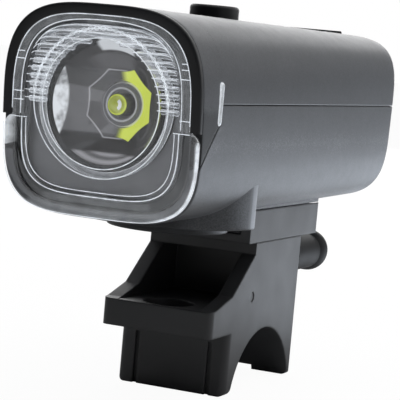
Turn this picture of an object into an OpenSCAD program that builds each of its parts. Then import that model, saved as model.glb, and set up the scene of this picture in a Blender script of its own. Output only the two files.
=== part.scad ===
// Bike headlight on a slide-in handlebar bracket.
// Millimetres. The origin is on the handlebar axis at mid-width, the beam leaves along -Y, +Z is up.

/* [Body] */
// width of the light body
body_w = 37; // [36:0.5:39]
// height of the light body
body_h = 36.3; // [35:0.1:38]
// length of the light body at mid-height
body_l = 107.6; // [106:0.2:114]
// how far the front face stands ahead of the bar axis
front_reach = 58.4; // [57:0.1:60]
// forward lean of the front face, millimetres per millimetre of height
front_rake = 0.09; // [0.06:0.01:0.1]
// radius of the two upper long edges
top_edge_r = 10.6; // [9.5:0.1:12]
// radius of the two lower long edges
bottom_edge_r = 10; // [9:0.1:11]
// radius of the rear rim
rear_edge_r = 5; // [3:0.5:7]
// wall of both shells
shell_wall = 1.8; // [1.5:0.1:2]
// height of the parting line above the underside of the body
parting_h = 21.3; // [20:0.1:22]
// how far the upper shell's front corners reach down below the parting line
skirt_h = 10.3; // [8:0.1:11]
// depth of the bezel and lens group ahead of the shells
nose_depth = 4; // [3.6:0.1:4.4]

/* [Lens and optics] */
// width of the black bezel band
bezel_w = 1.7; // [1.5:0.1:2]
// height where the bezel ends and the clear bib begins, above the underside
bib_h = 16.2; // [15:0.1:18]
// thickness of the clear lens plate
lens_t = 1.8; // [1.4:0.1:2.2]
// width of the raised rim round the lens
lens_rim = 1.6; // [1.3:0.1:1.8]
// number of horizontal ribs in the upper half of the lens
rib_count = 11; // [8:1:11]
// distance from rib to rib
rib_pitch = 1.25; // [1.2:0.05:1.3]
// radius of a rib
rib_r = 0.5; // [0.4:0.05:0.55]
// wall of the clear ring round the reflector mouth
ring_t = 1.2; // [0.9:0.1:1.3]
// radius of the reflector mouth
reflector_r = 10.8; // [10.4:0.1:11]
// depth of the reflector
reflector_depth = 7.7; // [7.4:0.1:8]
// wall of the reflector
reflector_wall = 0.9; // [0.7:0.1:1]
// radius of the opening at the root of the reflector
reflector_root_r = 4.2; // [4:0.1:4.4]
// height of the beam axis above the middle of the body
beam_up = 1.45; // [1:0.05:1.8]
// side of the square light source package
led_w = 3.4; // [3:0.1:3.5]
// radius of the clear dome on the light source
led_dome_r = 1.95; // [1.8:0.05:2]
// height of the dome's centre above its board
led_up = 3.8; // [3.4:0.1:4]
// radius of the round board that carries the light source
led_board_r = 10; // [8:0.5:11]
// thickness of the boards
board_t = 1.6; // [1.2:0.1:1.8]
// length of the heat sink
sink_l = 13.4; // [12.6:0.1:13.8]
// number of slots in the heat sink
sink_slots = 5; // [3:1:6]

/* [Inside] */
// radius of the battery cell
cell_r = 9.1; // [8.6:0.1:9.2]
// length of the battery cell
cell_l = 65; // [62:0.5:65]
// wall of the cradle under the cell
cradle_t = 1.2; // [0.9:0.1:1.3]
// width of the driver board
board_w = 25; // [22:0.5:26]
// radius of a housing screw thread
screw_r = 1.2; // [1:0.05:1.3]
// length of a housing screw below its head
screw_l = 11; // [10:0.5:12]
// distance of a housing screw from the middle of the body
boss_x = 6; // [5:0.2:7]

/* [Controls] */
// distance of the button behind the front face
button_back = 45.6; // [43:0.2:47]
// radius of the button cap
button_r = 4.8; // [4.2:0.1:5.2]
// how far the button stands above the body
button_up = 2.6; // [2.4:0.1:3.4]
// travel of the button
button_travel = 0.8; // [0.5:0.05:0.8]
// length of the port cover
cover_l = 25; // [24:0.5:26]
// width of the port cover
cover_w = 13; // [12:0.5:14]
// thickness of the port cover
cover_t = 1.6; // [1.4:0.1:1.7]
// width of the charging port mouth
port_w = 9; // [8.6:0.1:9.2]
// height of the charging port mouth
port_h = 3.3; // [3:0.1:3.5]
// length of a side window
window_l = 7.6; // [6.5:0.1:8]
// width of a side window
window_w = 1.6; // [1.3:0.1:1.8]

/* [Foot and rail] */
// radius of the round front of the foot under the body
foot_r = 17.7; // [17:0.1:18]
// distance of the foot centre ahead of the bar axis
foot_ahead = 27.7; // [27:0.1:28.5]
// how far the foot stands below the body
foot_drop = 1.8; // [1.5:0.1:2]
// radius of the round pad under the foot
pad_r = 11.5; // [11:0.1:11.6]
// thickness of the round pad under the foot
pad_t = 1.85; // [1.5:0.05:2]
// half-width of the rail flange
rail_half = 9.2; // [8.8:0.1:9.3]
// thickness of the rail flange
rail_t = 1.6; // [1.4:0.1:1.8]
// half-width of the rail web
web_half = 5.5; // [5:0.1:6]
// length of the receiver channel
receiver_l = 36.9; // [36:0.1:38]
// distance of the receiver's front end ahead of the bar axis
receiver_ahead = 11.9; // [11:0.1:12]
// height of the receiver
receiver_h = 6.1; // [6:0.1:6.5]
// thickness of the receiver floor
receiver_floor = 1.7; // [1.5:0.1:1.8]

/* [Bracket] */
// radius of the handlebar that the saddle takes
bar_r = 16; // [15.5:0.1:16.3]
// width of the bracket along the bar
base_w = 22.9; // [22.5:0.1:24]
// height of the bracket's top above the bar axis
base_top = 33.6; // [33:0.1:34.5]
// height of the leg ends above the bar axis
leg_end = 4.25; // [3.5:0.05:5]
// distance of the front leg's face ahead of the bar axis
leg_ahead = 18.25; // [18:0.05:18.8]
// distance of the rear face behind the bar axis
base_back = 17.4; // [17:0.1:17.8]
// distance of the tongue's tip ahead of the bar axis
tongue_ahead = 27.5; // [27:0.1:29]
// thickness of the tongue
tongue_t = 5.1; // [4.8:0.1:5.4]
// height of the tongue's upper face above the bar axis
tongue_top = 21.6; // [21.4:0.1:22]
// thickness of the side walls beside the pocket
pocket_wall = 3; // [2.5:0.1:3.4]
// thickness of the plate above the pocket
plate_t = 2.4; // [2:0.1:2.6]
// radius of the strap bolt hole in the tongue
strap_hole_r = 2.75; // [2.5:0.05:3]
// radius of the round recess above the strap bolt hole
strap_seat_r = 4.9; // [4.4:0.1:5.2]
// distance of the strap bolt hole ahead of the bar axis
strap_hole_ahead = 21.8; // [21.6:0.1:22]
// width of the two grooves on the front leg
groove_w = 0.9; // [0.6:0.1:1.2]
// radius of the upright edges
edge_r = 1.4; // [0.8:0.1:1.8]

/* [Release lever] */
// half-width of the lever arm
arm_half = 6.3; // [5.8:0.1:6.5]
// thickness of the lever arm
arm_t = 4.4; // [4:0.1:4.8]
// half-width of the thumb bar, over its round ends
tab_half = 11.4; // [10.5:0.1:11.8]
// radius of the thumb bar
tab_r = 4.4; // [4:0.1:4.5]
// how far the thumb bar reaches behind the bar axis
tab_back = 37.4; // [36:0.1:38]
// radius of the lever's pivot pin
pin_r = 1.2; // [1:0.05:1.4]
// radius of the spring wire
wire_r = 0.3; // [0.25:0.01:0.32]
// mean radius of the spring
spring_r = 2.2; // [1.8:0.1:2.6]
// turns of the spring
spring_turns = 4; // [3:0.5:4]

/* [Fits] */
// gap between pieces that are set against each other
fit_gap = 0.3; // [0.2:0.05:0.35]
// gap round the sliding rail
slide_gap = 0.15; // [0.1:0.01:0.2]
// radial clearance of the pivot pin
pin_gap = 0.05; // [0.03:0.01:0.09]

/* [Hidden] */
$fn = 64;
over = 1;
lap = 0.1;
floor_top = base_top + receiver_floor;
rail_bottom = floor_top + slide_gap;
rail_top = rail_bottom + rail_t;
receiver_top = base_top + receiver_h;
body_bottom = receiver_top + fit_gap;
body_top = body_bottom + body_h;
body_mid = body_bottom + body_h / 2;
body_front = -front_reach;
body_rear = body_front + body_l;
shell_front = body_front + nose_depth;
parting_z = body_bottom + parting_h;
skirt_z = parting_z - skirt_h;
ceiling_z = body_top - shell_wall;
floor_z = body_bottom + shell_wall;
bib_z = body_bottom + bib_h;
beam_z = body_mid + beam_up;

lens_inset = bezel_w + fit_gap;
baffle_t = 1.2;
seal_t = 0.6;
glue_gap = 0.1;
seal_front = shell_front - seal_t;
rib_start = 2.6;
flange_t = 0.8;
flange_w = 0.9;
rim_r = reflector_r + reflector_wall + flange_w;
flange_y = shell_front + glue_gap;
baffle_front = flange_y + flange_t;
mouth_ahead = 0.8;
mouth_y = flange_y - mouth_ahead;
lip_t = 0.6;
lip_r = reflector_r + lip_t;
focus = reflector_r * reflector_r / (4 * reflector_depth);
apex_y = mouth_y + reflector_depth;
root_depth = reflector_root_r * reflector_root_r / (4 * focus);
led_board_y = apex_y + fit_gap;
sink_y = led_board_y + board_t;
sink_rear = sink_y + sink_l;
sink_web = 3;
slot_w = 1.6;
led_base_t = 0.7;
led_cap_h = 0.8;
led_cap_r = (led_dome_r * led_dome_r + led_cap_h * led_cap_h) / (2 * led_cap_h);
collar_room = 0.75;
collar_l = 1.7;
collar_lip_w = 0.5;
collar_lip = 0.4;
ring_gap = 0.9;
ring_r = reflector_r + ring_gap + ring_t;

boss_r = 3.2;
thread_boss_r = 2.4;
head_r = 2.1;
head_t = 1.5;
head_slack = 0.2;
screw_slack = 0.15;
thread_bite = 0.02;
shank_slack = 0.04;
screw_end = 0.6;
drive_half = 1.26;
drive_w = 0.6;
drive_t = 0.7;
seat_t = 5;
boss_y = sink_y + sink_l / 2;
cell_y = sink_rear + 2 * fit_gap;
cell_z = floor_z + cradle_t + cell_r + 2 * fit_gap;
cell_cap_r = 3;
cell_cap_t = 0.8;
cradle_in = 2;
board_end = 8;
board_drop = 8.8;
board_z = ceiling_z - board_drop;
post_r = 1.2;
post_in = 0.4;
post_end = 4;
hook_half = 6;
hook_t = 1.2;
hook_up = 3;

button_y = body_front + button_back;
cap_top = body_top + button_up;
button_flange = 1;
button_flange_t = 1;
button_edge = 0.6;
button_dish_r = 2.9;
button_dish_t = 0.4;
seal_ring_t = 0.7;
seal_ring_w = 2;
flange_top = ceiling_z - seal_ring_t - glue_gap - fit_gap;
switch_w = 6;
switch_stem_r = 1.6;
stem_r = 1.5;
stem_l = 1.1;
stem_bottom = flange_top - button_flange_t - stem_l;
switch_gap = 0.1;
switch_top = stem_bottom - button_travel - switch_gap;
switch_body_t = 2.4;

cover_shy = 0.6;
cover_flat = 2;
cover_rear = body_rear - rear_edge_r - cover_shy;
cover_front = cover_rear - cover_l;
cover_proud = 0.6;
cover_top = body_top + cover_proud;
hinge_r = cover_t / 2;
hinge_y = cover_rear - hinge_r;
hinge_z = cover_top - hinge_r;
recess_floor = cover_top - cover_t - fit_gap;
recess_plate_t = 2;
port_back = 12;
port_y = cover_front + port_back;
plug_t = 1.5;
plug_gap = 0.25;
scoop_r = 5;
scoop_t = 0.9;
scoop_back = 8;
scoop_y = cover_front + scoop_back;
mouth_wall = 0.4;
mouth_deep = 4;

board_y = button_y - board_end;
board_l = port_y + board_end - board_y;

window_back = 4.4;
window_y = shell_front + window_back;
window_up = 0.1;
window_mid = parting_z + window_up;
window_gap = 0.1;
window_flange = 0.4;
window_flange_t = 1;
window_proud = 0.3;

foot_y = -foot_ahead;
foot_corner = 1.2;
foot_rear = foot_y + foot_corner;
foot_bottom = body_bottom - foot_drop;
foot_top = body_bottom + bottom_edge_r;
pad_back = 1.7;
pad_y = foot_y + pad_back;
receiver_front = -receiver_ahead;
receiver_rear = receiver_front + receiver_l;
rail_front = receiver_front - fit_gap;
receiver_end = 1.4;
rail_rear = receiver_rear - receiver_end - fit_gap;
base_half = base_w / 2;
receiver_inset = 0.05;
receiver_cheek = 2;
receiver_half = base_half - receiver_inset;
lip_z = rail_top + slide_gap;

tongue_bottom = tongue_top - tongue_t;
plate_front = -8.2;
plate_z = base_top - plate_t;
knee_y = -18;
knee_up = 2.2;
knee_z = tongue_top + knee_up;
lug_y = -25.4;
lug_up = 0.2;
lug_z = tongue_top + lug_up;
pocket_back = -1.5;
pocket_half = base_half - pocket_wall;
strap_seat_t = 2.4;
dimple_r = 1;
dimple_t = 0.15;
dimple_y = -8.1;
dimple_up = 1.3;
dimple_z = tongue_top + dimple_up;
groove_x = 7.7;
groove_deep = 0.7;
groove_h = 10.3;
groove_top = leg_end + groove_h;
strap_rib = 8;
strap_step = 1;
screw_x = 8.4;
screw_y = [8.2, 14];
small_screw_r = 1;
small_head_r = 1.8;
small_head_t = 1.1;
small_screw_l = 7;
small_drive_half = 1;
small_drive_w = 0.5;
small_drive_t = 0.5;
small_shank = receiver_floor + small_screw_l - small_head_t - screw_end + lap;

pivot_y = 4;
pivot_drop = 3.3;
pivot_z = plate_z - pivot_drop;
slot_ahead = 3.4;
slot_front = pivot_y - slot_ahead;
slot_half = arm_half + fit_gap;
arch_web = 4.5;
slot_floor = bar_r + arch_web;
hub_r = 2.9;
arm_z = pivot_z - arm_t / 2;
tab_gap = 0.7;
neck_in = 0.6;
neck_r = tab_r - neck_in;
tab_front = base_back + tab_gap;
tab_z = base_top - fit_gap - tab_r;
catch_y = 11;
catch_l = 3.5;
catch_half = 3;
catch_gap = 0.1;
catch_swing = 1;
pin_shy = 0.25;
pin_left = base_half - pin_shy;
pin_blind = 1.9;
pin_right = base_half - pin_blind;
spring_y = 11.5;
spring_bottom = slot_floor;
spring_top = arm_z;

function front_at(z) = body_front - front_rake * (z - body_mid);

module along_x(half) {
    translate([-half, 0, 0]) rotate([90, 0, 90]) linear_extrude(2 * half) children();
}

module along_y(y0, y1) {
    translate([0, y1, 0]) rotate([90, 0, 0]) linear_extrude(y1 - y0) children();
}

module along_z(z0, z1) {
    translate([0, 0, z0]) linear_extrude(z1 - z0) children();
}

module on_beam(y) {
    translate([0, y, beam_z]) rotate([90, 0, 0]) children();
}

module section(inset) {
    half = body_w / 2 - inset;
    lo = body_bottom + inset;
    hi = body_top - inset;
    rt = top_edge_r - inset;
    rb = bottom_edge_r - inset;
    for (side = [-1, 1]) {
        translate([side * (half - rt), hi - rt]) circle(rt);
        translate([side * (half - rb), lo + rb]) circle(rb);
    }
    polygon([[rb - half, lo], [half - rb, lo], [half, lo + rb], [half, hi - rt],
        [half - rt, hi], [rt - half, hi], [-half, hi - rt], [-half, lo + rb]]);
}

module round_end(y0, y1, lo, hi, r) {
    translate([y0, lo]) square([y1 - r - y0, hi - lo]);
    translate([y1 - r - lap, lo + r]) square([r + lap, hi - lo - 2 * r]);
    for (c = [lo + r, hi - r]) translate([y1 - r, c]) circle(r);
}

module body_block(inset, front) {
    half = body_w / 2 - inset;
    rear = body_rear - inset;
    intersection() {
        along_y(front, rear + over) section(inset);
        along_x(body_w) round_end(front - over, rear, body_bottom + inset, body_top - inset, rear_edge_r);
        along_z(body_bottom - over, body_top + over)
            mirror([1, -1, 0]) round_end(front - over, rear, -half, half, rear_edge_r);
    }
}

module cavity() {
    body_block(shell_wall, shell_front - over);
}

module front_band(off0, off1) {
    lo = body_bottom - over;
    hi = body_top + over;
    along_x(body_w) polygon([[front_at(lo) + off0, lo], [front_at(lo) + off1, lo],
        [front_at(hi) + off1, hi], [front_at(hi) + off0, hi]]);
}

module behind_front() {
    lo = body_bottom - over;
    hi = body_top + over;
    along_x(body_w) polygon([[front_at(lo), lo], [shell_front + over, lo],
        [shell_front + over, hi], [front_at(hi), hi]]);
}

module window_shape(grow) {
    r = window_w / 2 + grow;
    run = window_l / 2 - window_w / 2;
    for (s = [-1, 1]) translate([window_y, window_mid + s * run]) circle(r);
    translate([window_y - r, window_mid - run]) square([2 * r, 2 * run]);
}

module cover_plan(grow) {
    half = cover_w / 2 + grow;
    r = cover_w / 2 - cover_flat;
    rear = cover_rear + grow;
    front = cover_front - grow;
    translate([-half, front + r]) square([2 * half, rear - front - r]);
    translate([r - half, front]) square([2 * half - 2 * r, r + lap]);
    for (s = [-1, 1]) translate([s * (half - r), front + r]) circle(r);
}

module screw_places() {
    for (s = [-1, 1]) translate([s * boss_x, boss_y, 0]) children();
}

module post_places() {
    for (s = [-1, 1]) {
        translate([s * (board_w / 2 - post_r - post_in), board_y + post_end, 0]) children();
        translate([s * (board_w / 2 - post_r - post_in), board_y + board_l - post_end, 0]) children();
    }
}

module upper_zone() {
    low = window_mid - window_l / 2;
    back = body_rear + over;
    ahead = shell_front - over;
    along_x(body_w) polygon([[ahead, skirt_z], [shell_front, skirt_z], [window_y, low], [window_y, parting_z],
        [back, parting_z], [back, body_top + over], [ahead, body_top + over]]);
}

module upper_shell() {
    color([0.36, 0.37, 0.39]) difference() {
        union() {
            intersection() {
                difference() {
                    body_block(0, shell_front);
                    cavity();
                }
                upper_zone();
            }
            intersection() {
                body_block(shell_wall / 2, shell_front);
                union() {
                    along_z(recess_floor - recess_plate_t, body_top) cover_plan(shell_wall);
                    along_z(parting_z, body_top) screw_places() circle(thread_boss_r);
                    along_z(board_z + board_t + lap, body_top) post_places() circle(post_r);
                }
            }
        }
        along_z(recess_floor, body_top + over) cover_plan(fit_gap);
        along_z(recess_floor - recess_plate_t - over, body_top) translate([0, port_y])
            square([port_w + 2 * fit_gap, port_h + 2 * plug_gap], center = true);
        for (s = [-1, 1]) translate([s * cover_w / 2, scoop_y, body_top + scoop_r - scoop_t]) sphere(scoop_r);
        along_z(ceiling_z - over, body_top + over) translate([0, button_y]) circle(button_r + fit_gap);
        along_x(body_w) window_shape(window_gap);
        along_z(parting_z - over, parting_z + screw_l - seat_t + screw_end)
            screw_places() circle(screw_r - thread_bite);
    }
}

module foot() {
    along_z(foot_bottom, foot_top) {
        intersection() {
            translate([0, foot_y]) circle(foot_r);
            translate([-body_w, foot_y - body_w]) square([2 * body_w, body_w]);
        }
        translate([foot_corner - foot_r, foot_y - lap])
            square([2 * foot_r - 2 * foot_corner, foot_corner + lap]);
        for (s = [-1, 1]) translate([s * (foot_r - foot_corner), foot_y]) circle(foot_corner);
    }
    along_z(foot_bottom - pad_t, foot_bottom + lap) translate([0, pad_y]) circle(pad_r);
}

module rail() {
    along_z(rail_bottom, rail_top + lap) translate([-rail_half, rail_front])
        square([2 * rail_half, rail_rear - rail_front]);
    along_z(rail_top, body_bottom + 2 * lap) translate([-web_half, foot_rear - over])
        square([2 * web_half, rail_rear - foot_rear + over]);
}

module lower_shell() {
    color([0.36, 0.37, 0.39]) difference() {
        union() {
            difference() {
                union() {
                    difference() {
                        body_block(0, shell_front);
                        upper_zone();
                    }
                    foot();
                    rail();
                }
                cavity();
            }
            intersection() {
                body_block(shell_wall / 2, shell_front);
                along_z(body_bottom, parting_z) screw_places() circle(boss_r);
            }
        }
        along_z(rail_bottom - over, parting_z + over) screw_places() circle(screw_r + screw_slack);
        along_z(rail_bottom - over, parting_z - seat_t) screw_places() circle(head_r + head_slack);
        along_x(body_w) window_shape(window_gap);
    }
    color([0.36, 0.37, 0.39]) rear_hook();
}

module rear_hook() {
    back = body_rear - shell_wall - fit_gap;
    foot_back = back + fit_gap + shell_wall / 2;
    translate([-hook_half, back - hook_t, parting_z - hook_up]) cube([2 * hook_half, hook_t, 2 * hook_up]);
    translate([-hook_half, back - hook_t, parting_z - hook_up])
        cube([2 * hook_half, foot_back - back + hook_t, hook_up - fit_gap]);
}

module front_bezel() {
    color([0.05, 0.05, 0.055]) intersection() {
        difference() {
            along_y(body_front - 2 * nose_depth, shell_front) section(0);
            along_y(body_front - 3 * nose_depth, shell_front + over) section(bezel_w);
        }
        behind_front();
        along_z(bib_z, body_top + over) square([2 * body_w, 4 * body_l], center = true);
    }
}

module ribs() {
    first = ceiling_z - rib_start;
    difference() {
        for (i = [0 : rib_count - 1]) {
            z = first - i * rib_pitch;
            translate([-body_w / 2, front_at(z) + lens_t + fit_gap - lap, z])
                rotate([0, 90, 0]) cylinder(r = rib_r, h = body_w);
        }
        on_beam(shell_front) cylinder(r = ring_r - ring_t / 2, h = 3 * nose_depth);
    }
}

module lens_ring() {
    back = seal_front + seal_t - fit_gap;
    intersection() {
        on_beam(back) difference() {
            cylinder(r = ring_r, h = 2 * nose_depth);
            translate([0, 0, -over]) cylinder(r = ring_r - ring_t, h = 3 * nose_depth);
        }
        front_band(fit_gap + lens_t / 2, 2 * nose_depth);
    }
}

module front_lens() {
    inner = lens_inset + lens_rim;
    color([0.85, 0.88, 0.9, 0.45]) difference() {
        lens_solid(inner);
        along_y(seal_front - glue_gap, shell_front + over) section(lens_inset - 2 * glue_gap);
    }
}

module lens_solid(inner) {
    intersection() {
        union() {
            intersection() {
                along_y(body_front - 2 * nose_depth, shell_front) section(lens_inset);
                front_band(fit_gap, fit_gap + lens_t);
            }
            difference() {
                along_y(body_front - 2 * nose_depth, shell_front) section(lens_inset);
                along_y(body_front - 3 * nose_depth, shell_front + over) section(inner);
            }
            difference() {
                intersection() {
                    along_y(body_front - 2 * nose_depth, shell_front) section(0);
                    along_z(body_bottom - over, bib_z - glue_gap)
                        square([2 * body_w, 4 * body_l], center = true);
                }
                along_y(body_front - 3 * nose_depth, shell_front + over) section(inner);
            }
            intersection() {
                along_y(body_front - 2 * nose_depth, shell_front) section(inner - 2 * lap);
                ribs();
            }
            lens_ring();
        }
        behind_front();
    }
}

module lens_seal() {
    color([0.03, 0.03, 0.03]) difference() {
        along_y(seal_front, seal_front + seal_t) section(lens_inset - glue_gap);
        along_y(seal_front - over, seal_front + seal_t + over) section(lens_inset + lens_rim);
    }
}

module baffle_plate() {
    color([0.45, 0.46, 0.47]) difference() {
        along_y(baffle_front, baffle_front + baffle_t) section(shell_wall + fit_gap);
        on_beam(baffle_front + baffle_t + over)
            cylinder(r = reflector_r + reflector_wall + glue_gap, h = baffle_t + 2 * over);
    }
}

module reflector() {
    steps = 18;
    flange_depth = apex_y - flange_y;
    outer_depth = flange_depth - flange_t;
    inner = [for (i = [0 : steps])
        let (d = root_depth + (reflector_depth - root_depth) * i / steps)
        [sqrt(4 * focus * d), d]];
    outer = [for (i = [steps : -1 : 0])
        let (d = root_depth + (outer_depth - root_depth) * i / steps)
        [sqrt(4 * focus * d) + reflector_wall, d]];
    color([0.86, 0.87, 0.88]) on_beam(apex_y) rotate_extrude()
        polygon(concat(inner, [[lip_r, reflector_depth], [lip_r, flange_depth], [rim_r, flange_depth],
            [rim_r, outer_depth]], outer, [[reflector_root_r + reflector_wall, 0], [reflector_root_r, 0]]));
}

module led_collar() {
    outer = reflector_root_r - fit_gap;
    inner = led_dome_r + collar_room;
    color([0.6, 0.61, 0.62]) on_beam(led_board_y) rotate_extrude() {
        translate([inner, 0]) square([outer - inner, collar_l]);
        translate([inner, 0]) square([collar_lip_w, collar_l + collar_lip]);
    }
}

module led_emitter() {
    color([0.8, 0.85, 0.2]) on_beam(led_board_y) {
        translate([-led_w / 2, -led_w / 2, 0]) cube([led_w, led_w, led_base_t]);
        rotate_extrude() {
            translate([0, led_base_t - lap]) square([led_dome_r, led_up - led_base_t + lap]);
            intersection() {
                translate([0, led_up + led_cap_h - led_cap_r]) circle(led_cap_r);
                translate([0, led_up - lap]) square([led_dome_r, 2 * led_cap_h]);
            }
        }
    }
}

module led_board() {
    color([0.9, 0.9, 0.88]) on_beam(led_board_y + board_t) cylinder(r = led_board_r, h = board_t);
}

module heat_sink() {
    pitch = (body_w - 2 * shell_wall - 2 * slot_w) / (sink_slots + 1);
    color([0.72, 0.73, 0.75]) difference() {
        along_y(sink_y, sink_rear) section(shell_wall + fit_gap);
        along_z(body_bottom, body_top) screw_places() {
            circle(boss_r + fit_gap);
            translate([-boss_r - fit_gap, 0]) square([2 * boss_r + 2 * fit_gap, sink_l]);
        }
        for (i = [1 : sink_slots])
            translate([(i - (sink_slots + 1) / 2) * pitch - slot_w / 2, sink_y + sink_web, body_bottom])
                cube([slot_w, sink_l, body_h]);
    }
}

module driver_board() {
    color([0.08, 0.3, 0.16]) along_z(board_z, board_z + board_t)
        translate([-board_w / 2, board_y]) square([board_w, board_l]);
}

module tactile_switch() {
    low = board_z + board_t;
    color([0.15, 0.15, 0.16]) {
        along_z(low, low + switch_body_t) translate([0, button_y]) square(switch_w, center = true);
        along_z(low + switch_body_t - lap, switch_top) translate([0, button_y]) circle(switch_stem_r);
    }
}

module usb_receptacle() {
    low = board_z + board_t;
    high = recess_floor - recess_plate_t + lap;
    color([0.75, 0.76, 0.77]) difference() {
        along_z(low, high) translate([0, port_y]) square([port_w, port_h], center = true);
        along_z(high - mouth_deep, high + over) translate([0, port_y])
            square([port_w - 2 * mouth_wall, port_h - 2 * mouth_wall], center = true);
    }
}

module battery_cell() {
    color([0.15, 0.35, 0.6]) {
        along_y(cell_y + cell_cap_t, cell_y + cell_l) translate([0, cell_z]) circle(cell_r);
        along_y(cell_y, cell_y + cell_l) translate([0, cell_z]) circle(cell_cap_r);
    }
}

module battery_cradle() {
    inner = cell_r + fit_gap;
    outer = inner + cradle_t;
    low = floor_z + fit_gap;
    color([0.12, 0.12, 0.13]) along_y(cell_y + cradle_in, cell_y + cell_l - cradle_in) difference() {
        intersection() {
            translate([0, cell_z]) circle(outer);
            translate([-outer, low]) square([2 * outer, cell_z - low - cradle_in]);
        }
        translate([0, cell_z]) circle(inner);
    }
}

module housing_screws() {
    seat = parting_z - seat_t;
    color([0.7, 0.71, 0.72]) screw_places() {
        translate([0, 0, seat - head_t]) difference() {
            cylinder(r = head_r, h = head_t);
            for (a = [0, 90]) rotate(a) translate([-drive_half, -drive_w / 2, -over])
                cube([2 * drive_half, drive_w, over + drive_t]);
        }
        translate([0, 0, seat - lap]) cylinder(r = screw_r - shank_slack, h = screw_l);
    }
}

module side_window() {
    half = body_w / 2;
    intersection() {
        union() {
            along_x(half + window_proud) window_shape(0);
            intersection() {
                along_x(half - shell_wall - fit_gap) window_shape(window_flange);
                along_y(shell_front, body_rear) section(shell_wall + fit_gap);
            }
        }
        translate([half - shell_wall - fit_gap - window_flange_t, body_front, body_bottom])
            cube([body_w, body_l, body_h]);
    }
}

module side_window_right() {
    color([0.9, 0.92, 0.93]) side_window();
}

module side_window_left() {
    color([0.9, 0.92, 0.93]) mirror([1, 0, 0]) side_window();
}

module power_button() {
    color([0.04, 0.04, 0.045]) translate([0, button_y, 0]) rotate_extrude() {
        difference() {
            polygon([[0, flange_top - lap], [button_r, flange_top - lap], [button_r, cap_top - button_edge],
                [button_r - button_edge, cap_top], [0, cap_top]]);
            translate([0, cap_top - button_dish_t]) square([button_dish_r, over]);
        }
        translate([0, flange_top - button_flange_t]) square([button_r + button_flange, button_flange_t]);
        translate([0, stem_bottom]) square([stem_r, flange_top - button_flange_t - stem_bottom + lap]);
    }
}

module button_seal() {
    color([0.03, 0.03, 0.03]) translate([0, button_y, ceiling_z - glue_gap - seal_ring_t]) rotate_extrude()
        translate([button_r + fit_gap, 0]) square([seal_ring_w, seal_ring_t]);
}

module port_cover() {
    color([0.05, 0.05, 0.055]) {
        along_z(cover_top - cover_t, cover_top) intersection() {
            cover_plan(0);
            translate([-cover_w, cover_front - over]) square([2 * cover_w, hinge_y - cover_front + over]);
        }
        translate([0, hinge_y, hinge_z]) rotate([0, 90, 0]) cylinder(r = hinge_r, h = cover_w, center = true);
        along_z(cover_top - cover_t - fit_gap - plug_t, cover_top - cover_t + lap) translate([0, port_y])
            square([port_w, port_h], center = true);
    }
}

module rounded_plan(front, rear) {
    r = edge_r;
    for (s = [-1, 1]) {
        translate([s * (base_half - r), front + r]) circle(r);
        translate([s * (base_half - r), rear - r]) circle(r);
    }
    translate([-base_half, front + r]) square([base_w, rear - front - 2 * r]);
    translate([r - base_half, front]) square([base_w - 2 * r, rear - front]);
}

module base_upper() {
    intersection() {
        along_x(base_half) polygon([[-tongue_ahead, tongue_bottom], [-tongue_ahead, tongue_top],
            [lug_y, lug_z], [knee_y, knee_z], [plate_front, plate_z], [plate_front, base_top],
            [base_back, base_top], [base_back, tongue_bottom]]);
        along_z(tongue_bottom, base_top) rounded_plan(-tongue_ahead, base_back);
    }
}

module base_legs() {
    intersection() {
        along_z(leg_end, tongue_bottom + over) rounded_plan(-leg_ahead, base_back);
        along_y(-leg_ahead - over, base_back + over) union() {
            translate([-base_half, leg_end + edge_r]) square([base_w, tongue_bottom - leg_end]);
            translate([edge_r - base_half, leg_end]) square([base_w - 2 * edge_r, edge_r + over]);
            for (s = [-1, 1]) translate([s * (base_half - edge_r), leg_end + edge_r]) circle(edge_r);
        }
    }
}

module bracket_base() {
    strap_half = base_half - strap_rib;
    color([0.06, 0.06, 0.065]) difference() {
        union() {
            base_upper();
            base_legs();
        }
        rotate([0, 90, 0]) cylinder(r = bar_r, h = 2 * base_w, center = true);
        translate([-pocket_half, -tongue_ahead - over, tongue_top])
            cube([2 * pocket_half, tongue_ahead + over + pocket_back, plate_z - tongue_top]);
        along_z(tongue_bottom - over, tongue_top + over) translate([0, -strap_hole_ahead]) circle(strap_hole_r);
        along_z(tongue_top - strap_seat_t, tongue_top + over)
            translate([0, -strap_hole_ahead]) circle(strap_seat_r);
        for (s = [-1, 1]) translate([s * base_half, dimple_y, dimple_z]) rotate([0, 90, 0])
            cylinder(r = dimple_r, h = 2 * dimple_t, center = true);
        for (s = [-1, 1]) translate([s * groove_x - groove_w / 2, -leg_ahead - over, leg_end - over])
            cube([groove_w, groove_deep + over, groove_top - leg_end + over]);
        translate([-strap_half, 0, leg_end - over]) cube([2 * strap_half, base_back + over, strap_step + over]);
        translate([-slot_half, slot_front, slot_floor])
            cube([2 * slot_half, base_back - slot_front + over, plate_z - slot_floor]);
        along_z(plate_z - over, base_top + over) catch_window();
        translate([-pin_left - over, pivot_y, pivot_z]) rotate([0, 90, 0])
            cylinder(r = pin_r + thread_bite, h = pin_left + pin_right + over + lap);
        along_z(base_top - small_screw_l, base_top + over)
            small_screw_places() circle(small_screw_r - thread_bite);
    }
}

module catch_window() {
    translate([-catch_half - fit_gap, catch_y - fit_gap])
        square([2 * catch_half + 2 * fit_gap, catch_l + catch_swing + 2 * fit_gap]);
}

module small_screw_places() {
    for (s = [-1, 1], y = screw_y) translate([s * screw_x, y]) children();
}

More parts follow.
